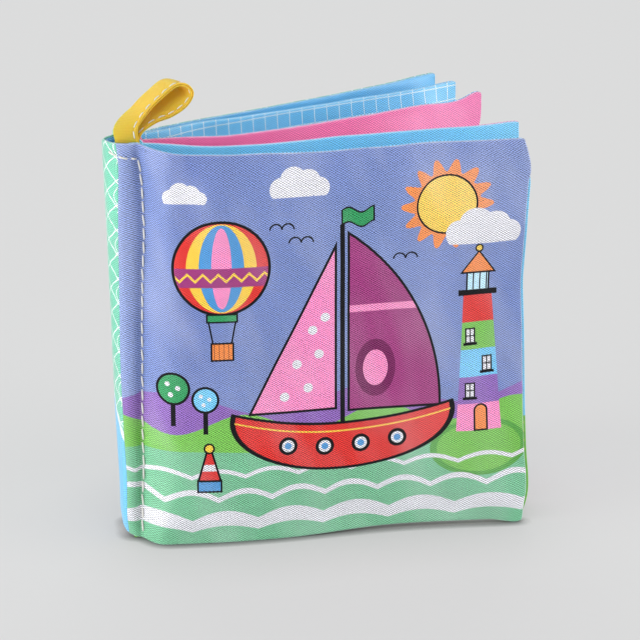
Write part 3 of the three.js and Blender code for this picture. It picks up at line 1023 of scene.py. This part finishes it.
class Pen(Ink):
    """Paints a cloth's material, shape over shape, in millimetres from the stitch line and the foot."""

    def __init__(self, name):
        super().__init__(bpy.data.materials.new(name))
        spread = self.vector("MULTIPLY", self.node("UVMap", uv_map="Cloth"), (UV_SPAN, UV_SPAN, 0))
        self.p = spread - UV_SHIFT
        self.u, self.z = self.p.parts()
        self.colour = None

    def paint(self, distance, colour, level=0.0, soft=0.16):
        """Inks the part where distance is under level, with an edge as soft as ink on satin."""
        mask = self.math("MULTIPLY_ADD", distance, -1 / soft, 0.5 + level / soft, clamp=True)
        self.colour = self.mix(mask, self.colour, colour)

    def outlined(self, shape, fill, out=0.45, inset=0.35):
        self.paint(shape, INK_BLACK, out)
        self.paint(shape, fill, -inset)

    def disc(self, x, y, radius, fill, line):
        self.outlined(self.p.to(x, y) - radius, fill, line / 2, line / 2)

    def cloud(self, x, y, size):
        puffs = [self.p.to(x + dx * size, y + dy * size) - r * size for dx, dy, r in CLOUD_PUFFS]
        self.paint(most(least(*puffs), y - 0.42 * size - self.z), WHITE)

    def box(self, x, y, half_x, half_y):
        return most(abs(self.u - x) - half_x, abs(self.z - y) - half_y)

    def oval(self, x, y, reach_x, reach_y):
        return ((self.p - (x, y)) / (reach_x, reach_y)).length()

    def stroke(self, x0, y0, x1, y1):
        """Distance from a straight line."""
        length = math.hypot(x1 - x0, y1 - y0)
        way_x, way_y = (x1 - x0) / length, (y1 - y0) / length
        moved = self.p - ((x0 + x1) / 2, (y0 + y1) / 2)
        along = abs(self.vector("DOT_PRODUCT", moved, (way_x, way_y, 0))) - length / 2
        return most(along, abs(self.vector("DOT_PRODUCT", moved, (-way_y, way_x, 0))))

    def beyond(self, x0, y0, x1, y1):
        """Signed distance to the left of a line from one point to another."""
        length = math.hypot(x1 - x0, y1 - y0)
        nx, ny = (y0 - y1) / length, (x1 - x0) / length
        return self.vector("DOT_PRODUCT", self.p, (nx, ny, 0)) - (nx * x0 + ny * y0)

    def sine(self, value):
        return self.math("SINE", value)

    def zigzag(self, value, height):
        return self.math("PINGPONG", value, height)

    def repeat(self, value, pitch):
        """Distance, with its sign, from the middle of the repeat that a place falls in."""
        return self.math("MODULO", value, pitch) - pitch / 2

    def wave_line(self, level, height, length, shift):
        """A scalloped crest: arches that meet in points."""
        arch = abs(self.sine(self.u * (math.pi / length) + shift))
        return self.z - (arch * height + level)

    def hill_line(self, level, height, length, shift, slope=0.0):
        """A soft hill line."""
        roll = self.sine(self.u * (TURN / length) + shift)
        return self.z - (roll * height + (self.u * slope + level))

    def finish(self, height, relief, **looks):
        """Closes the material, with a relief in millimetres and looks named after the shader's inputs."""
        bump = self.node("Bump", {"Height": height, "Distance": relief * MM})
        inputs = {name.replace("_", " "): value for name, value in looks.items()}
        shader = self.node("BsdfPrincipled", {"Base Color": self.colour, "Normal": bump, **inputs})
        self.node("OutputMaterial", (shader,))
        return self.holder


# Diagonal floats of the weave: turns per millimetre across and up, and share
FLOATS = ((0.87, 1.4, 0.62), (-0.8, 1.36, 0.38))
FLOAT_WANDER = 6.0
PATCHINESS = 0.3
# Middle of the painted highlight band on the cover, from the stitch line, how far it reaches and its strength
SHEEN_BAND_MIDDLE, SHEEN_BAND_REACH = 92.0, 30
SHEEN_BAND_STRENGTH = 0.07
# Brightness above which ink shines fully is one over this
PALE_SLOPE = 7.0
FOLD_SHARPNESS = 3.4
PAINTED_SHINE, FOLD_PALE_TONE = rgb("f4f4fb"), rgb("dfe6ee")


def satin(name, draw, relief=0.02, roughness=0.4, sheen=0.04, rim=True, grain=0.8, coat=0.35, painted_sheen=1.0):
    """Woven satin: crossing diagonal floats with painted shade in the gaps between them, uneven ink, painted
    sheen in soft pale patches and a band, and a paler line along the fold.
    """
    pen = Pen(name)
    draw(pen)
    p, u, z = pen.p, pen.u, pen.z
    wobble = pen.noise(p, 0.3, 1.0) * FLOAT_WANDER
    threads = 0.0
    for across, up, share in FLOATS:
        threads = pen.sine(u * (TURN * across) + (z * (TURN * up) + wobble)) * share + threads
    fine = pen.noise(p, 2.1, 3.0, 0.62) - 0.5
    patches = pen.noise(p, 0.06, 4.0, 0.6) - 0.5
    # The floats and the fine grain darken the colour where they sink: painted shade in the gaps between
    # threads; the patches are uneven ink
    shade = threads * grain + 1.0 + fine * (grain * 2.2) + patches * PATCHINESS
    pen.colour = pen.mix(1.0, pen.colour, pen.node("CombineColor", (shade, shade, shade)), "MULTIPLY")
    # Painted sheen: soft pale patches (painted lustre) and a broad painted highlight band on the cover's
    # swell, mixed towards white and kept off dark inks
    slant = pen.node("CombineXYZ", (z * 0.35 + u, (z - u * 0.35) * 0.34))
    painted_lustre = pen.math("MULTIPLY_ADD", pen.noise(slant, 0.06), 0.45, -0.2, clamp=True)
    swell = pen.math("MULTIPLY_ADD", abs(u - SHEEN_BAND_MIDDLE), -1 / SHEEN_BAND_REACH, 1.0, clamp=True)
    pale = pen.math("MULTIPLY", pen.node("RGBToBW", (pen.colour,)), PALE_SLOPE, clamp=True)
    pen.colour = pen.mix((swell * swell * SHEEN_BAND_STRENGTH + painted_lustre) * (pale * painted_sheen), pen.colour, PAINTED_SHINE)
    if rim:
        seam = pen.node("Attribute", output="Fac", attribute_name="seam")
        near_fold = pen.math("MULTIPLY_ADD", abs(seam + 0.35), -FOLD_SHARPNESS, 1.0, clamp=True)
        pen.colour = pen.mix(near_fold * (pen.noise(p, 0.5) * 1.3 - 0.25), pen.colour, FOLD_PALE_TONE)
    return pen.finish(fine * 2.4 + threads, relief, Roughness=fine * 0.2 + roughness,
                      Sheen_Weight=sheen, Sheen_Roughness=0.4, Specular_IOR_Level=pale * 0.5,
                      Coat_Weight=pale * coat, Coat_Roughness=0.3)


def draw_cover(pen):
    """Harbour picture of the front cover."""
    p, u, z = pen.p, pen.u, pen.z
    paint, box, outlined = pen.paint, pen.box, pen.outlined

    # The gutter strip is painted paler, as painted sheen; a painted shade darkens the sky a finger's breadth
    # from the stitches
    pen.colour = PERIWINKLE
    paint(u, rgb("8a9bcb"), -0.6, soft=1.2)
    deep = pen.math("MULTIPLY_ADD", abs(u - 15.0), -0.07, 0.9, clamp=True)
    pen.colour = pen.mix(deep * 0.5, pen.colour, rgb("6577b4"))

    # Sun with rays, clouds
    from_sun = p - (96, 108)
    sun_x, sun_y = from_sun.parts()
    far = from_sun.length()
    rays = pen.math("COSINE", pen.math("ARCTAN2", sun_y, sun_x) * 14)
    paint(far - (rays * 2.0 + 12.4), ORANGE)
    paint(far, INK_BLACK, 9.6)
    paint(far, YELLOW, 9.0)
    for x, y, size in ((108, 98, 7.5), (50, 116, 6.0), (14, 114.5, 4.4)):
        pen.cloud(x, y, size)

    # Balloon with its basket
    bx, by, radius = 25.0, 92.0, 15.0
    for share, fill in ((1.0, RED), (0.76, YELLOW), (0.5, ROYAL), (0.24, PINK)):
        shape = pen.oval(bx, by, radius * share, radius)
        edge = 0.45 / (radius * share)
        if share == 1:
            paint(shape, INK_BLACK, 1 + edge, soft=0.01)
        paint(shape, fill, 1 - edge, soft=0.01)
    band = most(p.to(bx, by) - (radius - 0.45), abs(z - (by - 3.0)) - 3.1)
    paint(band, PLUM)
    paint(most(abs(z - (by - 4.2) - pen.zigzag(u + 60.0, 2.4)) - 0.5, band), YELLOW)
    paint(box(bx, by - 16.2, 5.0, 1.5), INK_BLACK)
    paint(box(bx, by - 16.2, 4.4, 0.95), GREEN)
    for side in (-1, 1):
        paint(pen.stroke(bx + side * 4.2, by - 17.5, bx + side * 2.9, by - 24.5), INK_BLACK, 0.28)
    basket = box(bx, by - 27.2, 3.1, 2.5)
    outlined(basket, ORANGE, 0.6, 0)
    paint(most(basket, pen.zigzag(u + 60.0, 0.75) - 0.16), rgb("a8561c"))

    # Birds
    for x, y in ((44, 104), (50, 99.5), (83, 92)):
        for side in (-1, 1):
            paint(most(abs(p.to(x + side * 1.9, y - 0.6) - 1.9) - 0.26, y - 0.5 - z), INK_BLACK)

    # Land and sea
    paint(pen.hill_line(47.0, 4.0, 62, 0.6), PURPLE)
    paint(pen.hill_line(40.5, 3.2, 44, 3.4), LIME)
    paint(pen.hill_line(31.0, 1.2, 90, 0.3, slope=-0.02), MINT)

    # Trees on the hill
    for x, y, size, fill in ((9.5, 52.5, 5.0, GREEN), (19.5, 49, 4.0, LIGHT_BLUE)):
        paint(pen.stroke(x, y - size - 6.5, x, y), INK_BLACK, 0.75)
        pen.disc(x, y, size, fill, 0.8)
        for dx, dy in ((-0.35, 0.3), (0.3, 0.05), (-0.15, -0.4)):
            paint(p.to(x + dx * size, y + dy * size), WHITE, size * 0.16)

    # Lighthouse on its rock
    lx, base, top = 106.5, 33.0, 78.0
    rock = pen.oval(lx, 27.5, 15.5, 9.5)
    paint(rock, rgb("4f9e3a"), 1.0, soft=0.015)
    paint(rock, LIME, 0.86, soft=0.015)
    aside = abs(u - lx)
    taper = (z - base) * 0.055 + aside
    storeys = ((base, 42, PINK), (42, 51, PURPLE), (51, 60, LIGHT_BLUE), (60, 69, LIME), (69, top, RED))
    for low, high, fill in storeys:
        paint(most(taper - 7.2, abs(z - (low + high) / 2) - (high - low) / 2), fill)
    for x, y in ((lx - 2.6, 64.5), (lx + 2.8, 55), (lx - 2.8, 46.5)):
        paint(box(x, y, 1.7, 2.6), INK_BLACK)
        paint(most(box(x, y, 1.2, 2.1), 0.2 - least(abs(u - x), abs(z - y))), WHITE)
        paint(box(x, y - 2.7, 2.3, 0.45), INK_BLACK)
    outlined(least(box(lx + 0.6, 36.2, 2.3, 3.4), p.to(lx + 0.6, 39.6) - 2.3), ORANGE, 0, 0.6)
    paint(box(lx, top + 0.8, 6.4, 0.95), INK_BLACK)
    paint(box(lx, top + 4.6, 3.9, 3.1), INK_BLACK)
    lamp = box(lx, top + 4.6, 3.3, 2.9)
    paint(lamp, rgb("bfe6f7"))
    paint(most(lamp, pen.zigzag(u - (lx - 41.1), 1.1) - 0.22), INK_BLACK)
    eaves = top + 7.4
    outlined(most(eaves - z, z * 0.78 + aside - (5.4 + eaves * 0.78)), ORANGE, 0.35, 0.25)
    pen.disc(lx, top + 15.4, 1.1, YELLOW, 0.5)

    # Far crest
    paint(abs(pen.wave_line(23.2, 2.2, 17.0, 0.4)) - 0.7, WHITE)

    # Sailing boat: mast, mainsail, jib, flag, hull
    mast, hem, luff = 63.0, 42.5, 70.0
    paint(box(mast, 70, 0.75, 34), INK_BLACK)
    leech_x, leech_y = arc_centre(94, hem, mast + 2, 101, luff)
    main = most(mast + 2.0 - u, hem - z, p.to(leech_x, leech_y) - luff)
    outlined(main, PLUM)
    belly = pen.oval(73.5, 56, 6.4, 9.5)
    paint(belly, DARK_PLUM, 1.0, soft=0.02)
    paint(belly, PINK, 0.62, soft=0.02)
    paint(most(main, abs(z - 76.0) - 1.5), PINK, -0.35)
    outlined(most(u - (mast - 2.2), 43.5 - z, pen.beyond(33.5, 43.5, mast - 2.2, 97)), PINK)
    for x, y in ((52, 51), (44.5, 48.5), (55.5, 62), (48.5, 59), (57.5, 74), (53.5, 70)):
        paint(p.to(x, y), WHITE, 1.5)
    flutter = abs(z - 106.0 + pen.sine(u * 0.75) * 0.9) - 2.2
    outlined(most(mast - u, u - (mast + 10.0), flutter), GREEN, 0.35, 0.2)
    deck = z - (pen.math("POWER", abs(u - mast), 2.0) * 0.0042 + 38.5)
    hull = most((pen.oval(mast, 41.0, 35.0, 17.5) - 1.0) * 18.0, deck)
    outlined(hull, RED, 0.5, 0.4)
    paint(most(hull, abs(deck + 2.6) - 0.55), YELLOW, -0.3)
    for x in (45.5, 57.2, 68.8, 80.5):
        far = p.to(x, 31.2 + 0.0035 * (x - mast) ** 2)
        for reach, fill in ((3.0, INK_BLACK), (1.95, WHITE), (1.1, ROYAL)):
            paint(far, fill, reach)

    # Near sea in front of the boat
    near = pen.wave_line(16.5, 2.8, 17.0, 0.4 + math.pi / 2)
    paint(near, WHITE)
    paint(near, MINT, -1.9)
    paint(pen.wave_line(8.6, 3.2, 21.0, 0.9), WHITE)
    paint(pen.wave_line(4.4, 2.0, 21.0, 0.9), MINT)

    # Buoy
    buoy_x, foot = 20.5, 22.4
    paint(box(buoy_x, 20.5, 4.0, 2.2), INK_BLACK)
    paint(box(buoy_x, 20.5, 3.4, 1.6), ROYAL)
    cone = most(foot - z, z - 31.5, z * 0.28 + abs(u - buoy_x) - (0.28 * foot + 3.3))
    outlined(cone, RED, 0.5, 0.2)
    paint(most(cone, abs(z - 26.6) - 1.3), WHITE, -0.2)
    pen.disc(buoy_x, 33.0, 1.5, YELLOW, 0.6)


def arc_centre(x0, y0, x1, y1, radius):
    """Centre of a circle through two points, on the left of the line between them."""
    half = math.hypot(x1 - x0, y1 - y0) / 2
    off = math.sqrt(radius ** 2 - half ** 2)
    return (x0 + x1) / 2 - (y1 - y0) / (2 * half) * off, (y0 + y1) / 2 + (x1 - x0) / (2 * half) * off


# The net's lines cross at each rib; both are counted from this place
NET_PITCH_UP, NET_PITCH_ACROSS = 7.95, 8.8
NET_START = 204.1


def draw_lattice(pen):
    """Mint cloth with a hand-drawn white net, over a light blue foot with a white edge."""
    p, u, z = pen.p, pen.u, pen.z
    turns = (u + NET_START) * (1 / NET_PITCH_ACROSS)
    lines = []
    for way, wander in ((-1, pen.noise(p, 0.31, 0.0)), (1, pen.noise(p, 0.13, 1.0))):
        slant = (z - 2.9) * (1 / NET_PITCH_UP) + (turns * way + 40.0)
        lines.append(pen.zigzag(slant + (wander * 0.1 - 0.05), 0.5))
    rib = pen.zigzag(turns + pen.sine(z * (TURN / NET_PITCH_UP)) * 0.1 + 0.5, 0.5) + 0.012
    gap = pen.sine(z * (math.pi / NET_PITCH_UP) + u * 0.9) * -0.12
    pen.colour = LATTICE_MINT
    pen.paint(least(*lines), LATTICE_WHITE, 0.034, soft=0.02)
    pen.paint(most(rib, gap), LATTICE_WHITE, 0.03, soft=0.02)
    above = z - least((u + 6.0) * -1.35 + 37.5, pen.sine(u * 0.11) * -3.0 + 43.0)
    pen.paint(above, rgb("e4e8ee"))
    pen.paint(above + (u * 0.22 + 4.3), LIGHT_BLUE)


def draw_blue_page(pen):
    """Plain sky-blue page with soft white clouds and a lime foot with yellow dots."""
    pen.colour = rgb("7ccaef")
    for x, y, size in ((28, 84, 9), (80, 66, 11), (52, 108, 6.5)):
        pen.cloud(x, y, size)
    hill = pen.z - pen.sine(pen.u * 0.11) * 3.5
    pen.paint(hill - 34.0, LIME)
    dot = pen.node("CombineXYZ", (pen.zigzag(pen.u + 200, 3.0) - 1.5, pen.zigzag(pen.z, 3.0) - 1.5))
    pen.paint(most(pen.vector("LENGTH", dot) - 0.75, hill - 32.0), YELLOW)


def draw_pink_page(pen):
    """Pink page with paler polka dots and a plum foot."""
    pen.colour = rgb("ea78b2")
    pitch = 15.0
    spots = []
    for shift in (0, pitch / 2):
        dot = (pen.repeat(pen.u + (297 + shift), pitch), pen.repeat(pen.z + (6 + shift), pitch))
        spots.append(pen.vector("LENGTH", pen.node("CombineXYZ", dot)))
    pen.paint(most(least(*spots) - 2.6, pen.z - 112.0), rgb("f9b3d6"))
    hem = pen.wave_line(20.0, 4.0, 12, 0)
    pen.paint(hem, WHITE)
    pen.paint(hem + 1.8, PLUM)


def draw_grid_page(pen):
    """Light blue page with a thin white grid."""
    pen.colour = rgb("6fc2ec")
    pitch = 4.6
    lines = [abs(pen.repeat(value, pitch)) for value in (pen.u + 230, pen.z + 45.8)]
    pen.paint(least(*lines), rgb("dbe8ee"), 0.16, soft=0.2)


def draw_plain_blue(pen):
    """Plain light blue page with a few white ripples low down."""
    pen.colour = rgb("5ab6e6")
    roll = pen.sine(pen.u * 0.32) * 1.8
    for level in (18.0, 30.0, 42.0):
        pen.paint(abs(pen.z - (roll + level)), rgb("dff1fb"), 0.8)


def plain(code):
    """One colour, a little lighter in patches."""
    colour = rgb(code)

    def draw(pen):
        pen.colour = pen.mix(pen.noise(pen.p, 0.12), colour, tuple(min(1, c * 1.12) for c in colour))
    return draw


def thread_material(colour, twist=0.55):
    """Two-ply thread: the plies wind round each other."""
    pen = Pen("thread_white")
    ply = pen.sine(pen.u * (TURN / twist) + pen.z * 7.5)
    # The colour is darker in the grooves between the plies: painted shade
    pen.colour = pen.mix(ply * 0.5 + 0.5, tuple(c * 0.84 for c in colour), colour)
    return pen.finish(ply, 0.08, Roughness=0.62, Sheen_Weight=0.2)


def ribbon_material():
    """Yellow ribbon: fine cross ribs and a painted shade in the groove along its sewn edge."""
    pen = Pen("ribbon_yellow")
    along, across = pen.u, pen.z
    fine = pen.noise(pen.p, 2.2, 3.0)
    weave = pen.sine(across * (TURN / 0.36)) * 0.5 + pen.sine(along * (TURN / 0.42))
    pen.colour = pen.mix(fine, rgb("f2b92c"), rgb("f8ca46"))
    pen.colour = pen.mix(pen.math("MULTIPLY_ADD", weave, 0.12, 0.14, clamp=True), pen.colour, rgb("dd9c1c"))
    # Painted shade in the groove along the sewn edge, where the rolled lips meet
    groove_shade = pen.math("MULTIPLY_ADD", abs(across - 0.33), -1 / 0.12, 0.5 + 0.1 / 0.12, clamp=True)
    pen.colour = pen.mix(groove_shade * 0.7, pen.colour, rgb("b8770f"))
    return pen.finish(weave + fine, 0.05, Roughness=fine * 0.15 + 0.42, Sheen_Weight=0.05,
                      Specular_IOR_Level=0.4, Subsurface_Weight=0.9, Subsurface_Radius=(3.4, 2.0, 0.5),
                      Subsurface_Scale=MM)


def film_material():
    """Milky crinkle film with sharp creases."""
    pen = Pen("crinkle_film_milky")
    crease = pen.node("TexVoronoi", {"Vector": pen.p, "Scale": 0.14}, "Distance", feature="DISTANCE_TO_EDGE")
    # The colour is darker along the creases: painted shade in the crease valleys
    pen.colour = pen.mix(crease, rgb("ccd6dc"), rgb("e8eef2"))
    return pen.finish(crease, 0.6, Roughness=0.22)


PAGE_LOOKS = {"grain": 0.5, "painted_sheen": 0.35}
COVER = satin("cover_harbour_print", draw_cover)
LATTICE = satin("spine_lattice_print", draw_lattice)
BLUE_PAGE = satin("blue_page_print", draw_blue_page, **PAGE_LOOKS)
PINK_PAGE = satin("pink_page_print", draw_pink_page, **PAGE_LOOKS)
GRID_PAGE = satin("grid_page_print", draw_grid_page, **PAGE_LOOKS)
PLAIN_BLUE = satin("plain_blue_page_print", draw_plain_blue, **PAGE_LOOKS)
LINING = satin("lining_blue", plain("3c97c9"), rim=False)
TAPE = satin("binding_tape_white", plain("e6ebf0"), rim=False)
WADDING = satin("wadding_fleece", plain("f1efe8"), rim=False, relief=0.4, roughness=0.9, sheen=0.5, coat=0.0)
FILM = film_material()
RIBBON = ribbon_material()
THREAD = thread_material(rgb("fdfbf4"))


# Dress each piece: material, body and the solid that it stands for
def dress(obj, material, body=None, node=None):
    obj.data.materials.clear()
    obj.data.materials.append(material)
    if body:
        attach(obj, body)
    if node:
        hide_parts(node)


def blend_at(obj, body, before, after):
    """Works out a bend between the spine and its panel around the panel's hinge, but bends nothing: it only
    bakes the cloth's placement into its mesh.
    """
    panel = PANELS[body]
    turn = math.radians(panel["turn"]) / 2
    way = np.array([math.cos(turn), math.sin(turn), 0])
    start, end = (panel["hinge"] - way * before) * MM, (panel["hinge"] + way * after) * MM
    start[2] = end[2] = 0
    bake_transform(obj)


CLOTH_LOOKS = {
    "front_cover_outer_cloth": (COVER, "cover_print", "front_cover"),
    "front_cover_inner_cloth": (BLUE_PAGE, "blue_cloth", "front_cover"),
    "leaf_1_front_cloth": (BLUE_PAGE, "blue_cloth", "leaf_1"),
    "leaf_1_back_cloth": (PINK_PAGE, "pink_cloth", "leaf_1"),
    "leaf_2_front_cloth": (PINK_PAGE, "pink_cloth", "leaf_2"),
    "leaf_2_back_cloth": (GRID_PAGE, "grid_cloth", "leaf_2"),
    "leaf_3_front_cloth": (GRID_PAGE, "grid_cloth", "leaf_3"),
    "leaf_3_back_cloth": (PLAIN_BLUE, "blue_cloth", "leaf_3"),
    "back_cover_inner_cloth": (PLAIN_BLUE, "blue_cloth", "back_cover"),
    "back_cover_outer_cloth": (LATTICE, "mint_cloth", "back_cover"),
}
# How far a cloth's bend would reach before and after its hinge, in millimetres; blend_at works it out but
# bends nothing
OUTER_BEND = (2.5, 5.0)
INNER_BEND = (1.0, 3.0)
for node, obj in CLOTHS.items():
    material, slot, body = CLOTH_LOOKS[node]
    dress(obj, material)
    blend_at(obj, body, *(OUTER_BEND if node.endswith("outer_cloth") else INNER_BEND))
    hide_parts(node)
dress(spine_cloth, LATTICE, "spine", "spine_cloth")
dress(spine_lining, LINING, "spine", "spine_lining")
for leaf, obj in TABS.items():
    dress(obj, TAPE, "spine", f"{leaf}_binding_tab")
for body in PANELS:
    dress(WADDINGS[body], WADDING, body, f"{body}_wadding")
    dress(FILMS[body], FILM, body, f"{body}_crinkle_film")
for obj in (front_stitches, back_stitches):
    dress(obj, THREAD, "spine")

for obj, material in ((ribbon, RIBBON), (ribbon_thread, THREAD)):
    dress(obj, material)
    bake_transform(obj)
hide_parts("hanging_loop", "loop_front_end", "loop_back_end")

# The ribbon's length in metres, with its tucked ends, is worked out here; nothing reads it
ribbon_length = loop_frames()[5][-1]
ribbon_length * MM


# Floor and light
BACKGROUND = rgb("dddddd")
SHADE_KEPT = 0.28
FLOOR_REACH, FLOOR_CELLS = 4000.0, 8
# Reach in metres and strength of the floor's shade close under the book
CONTACT_SHADOWS = ((0.04, 0.3), (0.004, 2.6))


def pale_to_camera(ink):
    """1 for rays that should see the plain background: straight ones and those through clear parts."""
    return most(*(ink.node("LightPath", output=f"Is {kind} Ray") for kind in ("Camera", "Transmission")))


def studio():
    """A wide pale floor; it keeps the book's shadow and is otherwise as pale as the background."""
    line = np.linspace(-FLOOR_REACH, FLOOR_REACH, FLOOR_CELLS + 1)
    points = [(x, y, 0) for y in line for x in line]
    floor = new_object("studio_floor", points, between(grid(FLOOR_CELLS + 1, FLOOR_CELLS + 1)))
    ink = Ink(bpy.data.materials.new("studio_pale"))
    speck = ink.noise(ink.node("TexCoord", output="Object"), 300.0)
    surface = ink.node("BsdfPrincipled", {"Base Color": ink.mix(speck, rgb("d4d5d5"), rgb("d8d9d9")),
                                          "Roughness": 0.75, "Specular IOR Level": 0.2})
    contact = 1.0
    for distance, power in CONTACT_SHADOWS:
        open_share = ink.node("AmbientOcclusion", {"Distance": distance}, "AO", samples=8)
        contact = ink.math("POWER", open_share, power) * contact
    plain_light = ink.node("Emission", {"Color": BACKGROUND, "Strength": contact})
    share = pale_to_camera(ink) * (1 - SHADE_KEPT)
    ink.node("OutputMaterial", (ink.node("MixShader", (share, surface, plain_light)),))
    floor.data.materials.append(ink.holder)


# Soft lamps aimed at the book: place, width, height and radiance
LAMP_TARGET = (0, 0, 0.07)
LAMPS = {
    "softbox_left": ((-1.6, -0.5, 0.42), 1.3, 0.8, 6.8),
    "softbox_right": ((1.6, -0.45, 0.42), 1.3, 0.8, 5.4),
    "strip_left": ((-1.15, -1.2, 0.28), 0.3, 0.5, 9.0),
    "softbox_above": ((0, -0.9, 1.5), 1.0, 0.8, 2.4),
    "softbox_behind": ((0, 1.5, 1.3), 1.4, 0.8, 3.6),
}
WORLD_LIGHT = 0.38


def lamp(name, at, width, height, radiance):
    """A soft light of even brightness over its whole face."""
    data = bpy.data.lights.new(name, "AREA")
    data.shape = "RECTANGLE"
    data.size, data.size_y = width, height
    data.energy = radiance * math.pi * width * height
    obj = bpy.data.objects.new(name, data)
    bpy.context.scene.collection.objects.link(obj)
    obj.location = at
    obj.rotation_mode = "QUATERNION"
    obj.rotation_quaternion = (Vector(LAMP_TARGET) - Vector(at)).to_track_quat("-Z", "Y")


def world_light():
    """Even light from all round, with the plain background for the camera."""
    ink = Ink(bpy.data.worlds.new("soft_room"))
    around = ink.node("Background", {"Color": (0.98, 0.99, 1.0), "Strength": WORLD_LIGHT})
    seen = ink.node("Background", {"Color": BACKGROUND})
    ink.node("OutputWorld", (ink.node("MixShader", (pale_to_camera(ink), around, seen)),))
    bpy.context.scene.world = ink.holder


# Camera of the photograph, worked out from the corners of the front cover
CAMERA_TARGET = np.array([FRONT_HINGE[0] + 56.6, FRONT_HINGE[1], 70.7]) * MM
CAMERA_DISTANCE = 1.3
CAMERA_AZIMUTH, CAMERA_ELEVATION, CAMERA_ROLL = -5.88, 18.38, -0.25
CAMERA_LENS = 233.26
CAMERA_SENSOR = 36


def camera():
    azimuth, elevation, roll = (math.radians(a) for a in (CAMERA_AZIMUTH, CAMERA_ELEVATION, CAMERA_ROLL))
    back = Vector((math.sin(azimuth) * math.cos(elevation), -math.cos(azimuth) * math.cos(elevation),
                   math.sin(elevation)))
    right = Vector((math.cos(azimuth), math.sin(azimuth), 0))
    up = back.cross(right)
    rolled_right = right * math.cos(roll) + up * math.sin(roll)
    rolled_up = up * math.cos(roll) - right * math.sin(roll)
    turn = Matrix((rolled_right, rolled_up, back)).transposed()
    data = bpy.data.cameras.new("camera")
    data.lens = CAMERA_LENS
    data.sensor_width = CAMERA_SENSOR
    data.clip_start, data.clip_end = 0.05, 20
    obj = bpy.data.objects.new("camera", data)
    bpy.context.scene.collection.objects.link(obj)
    obj.matrix_world = Matrix.Translation(Vector(CAMERA_TARGET) + back * CAMERA_DISTANCE) @ turn.to_4x4()
    bpy.context.scene.camera = obj


camera()
studio()
world_light()
for name, (at, width, height, radiance) in LAMPS.items():
    lamp(name, at, width, height, radiance)
bpy.context.scene.view_settings.view_transform = "Standard"
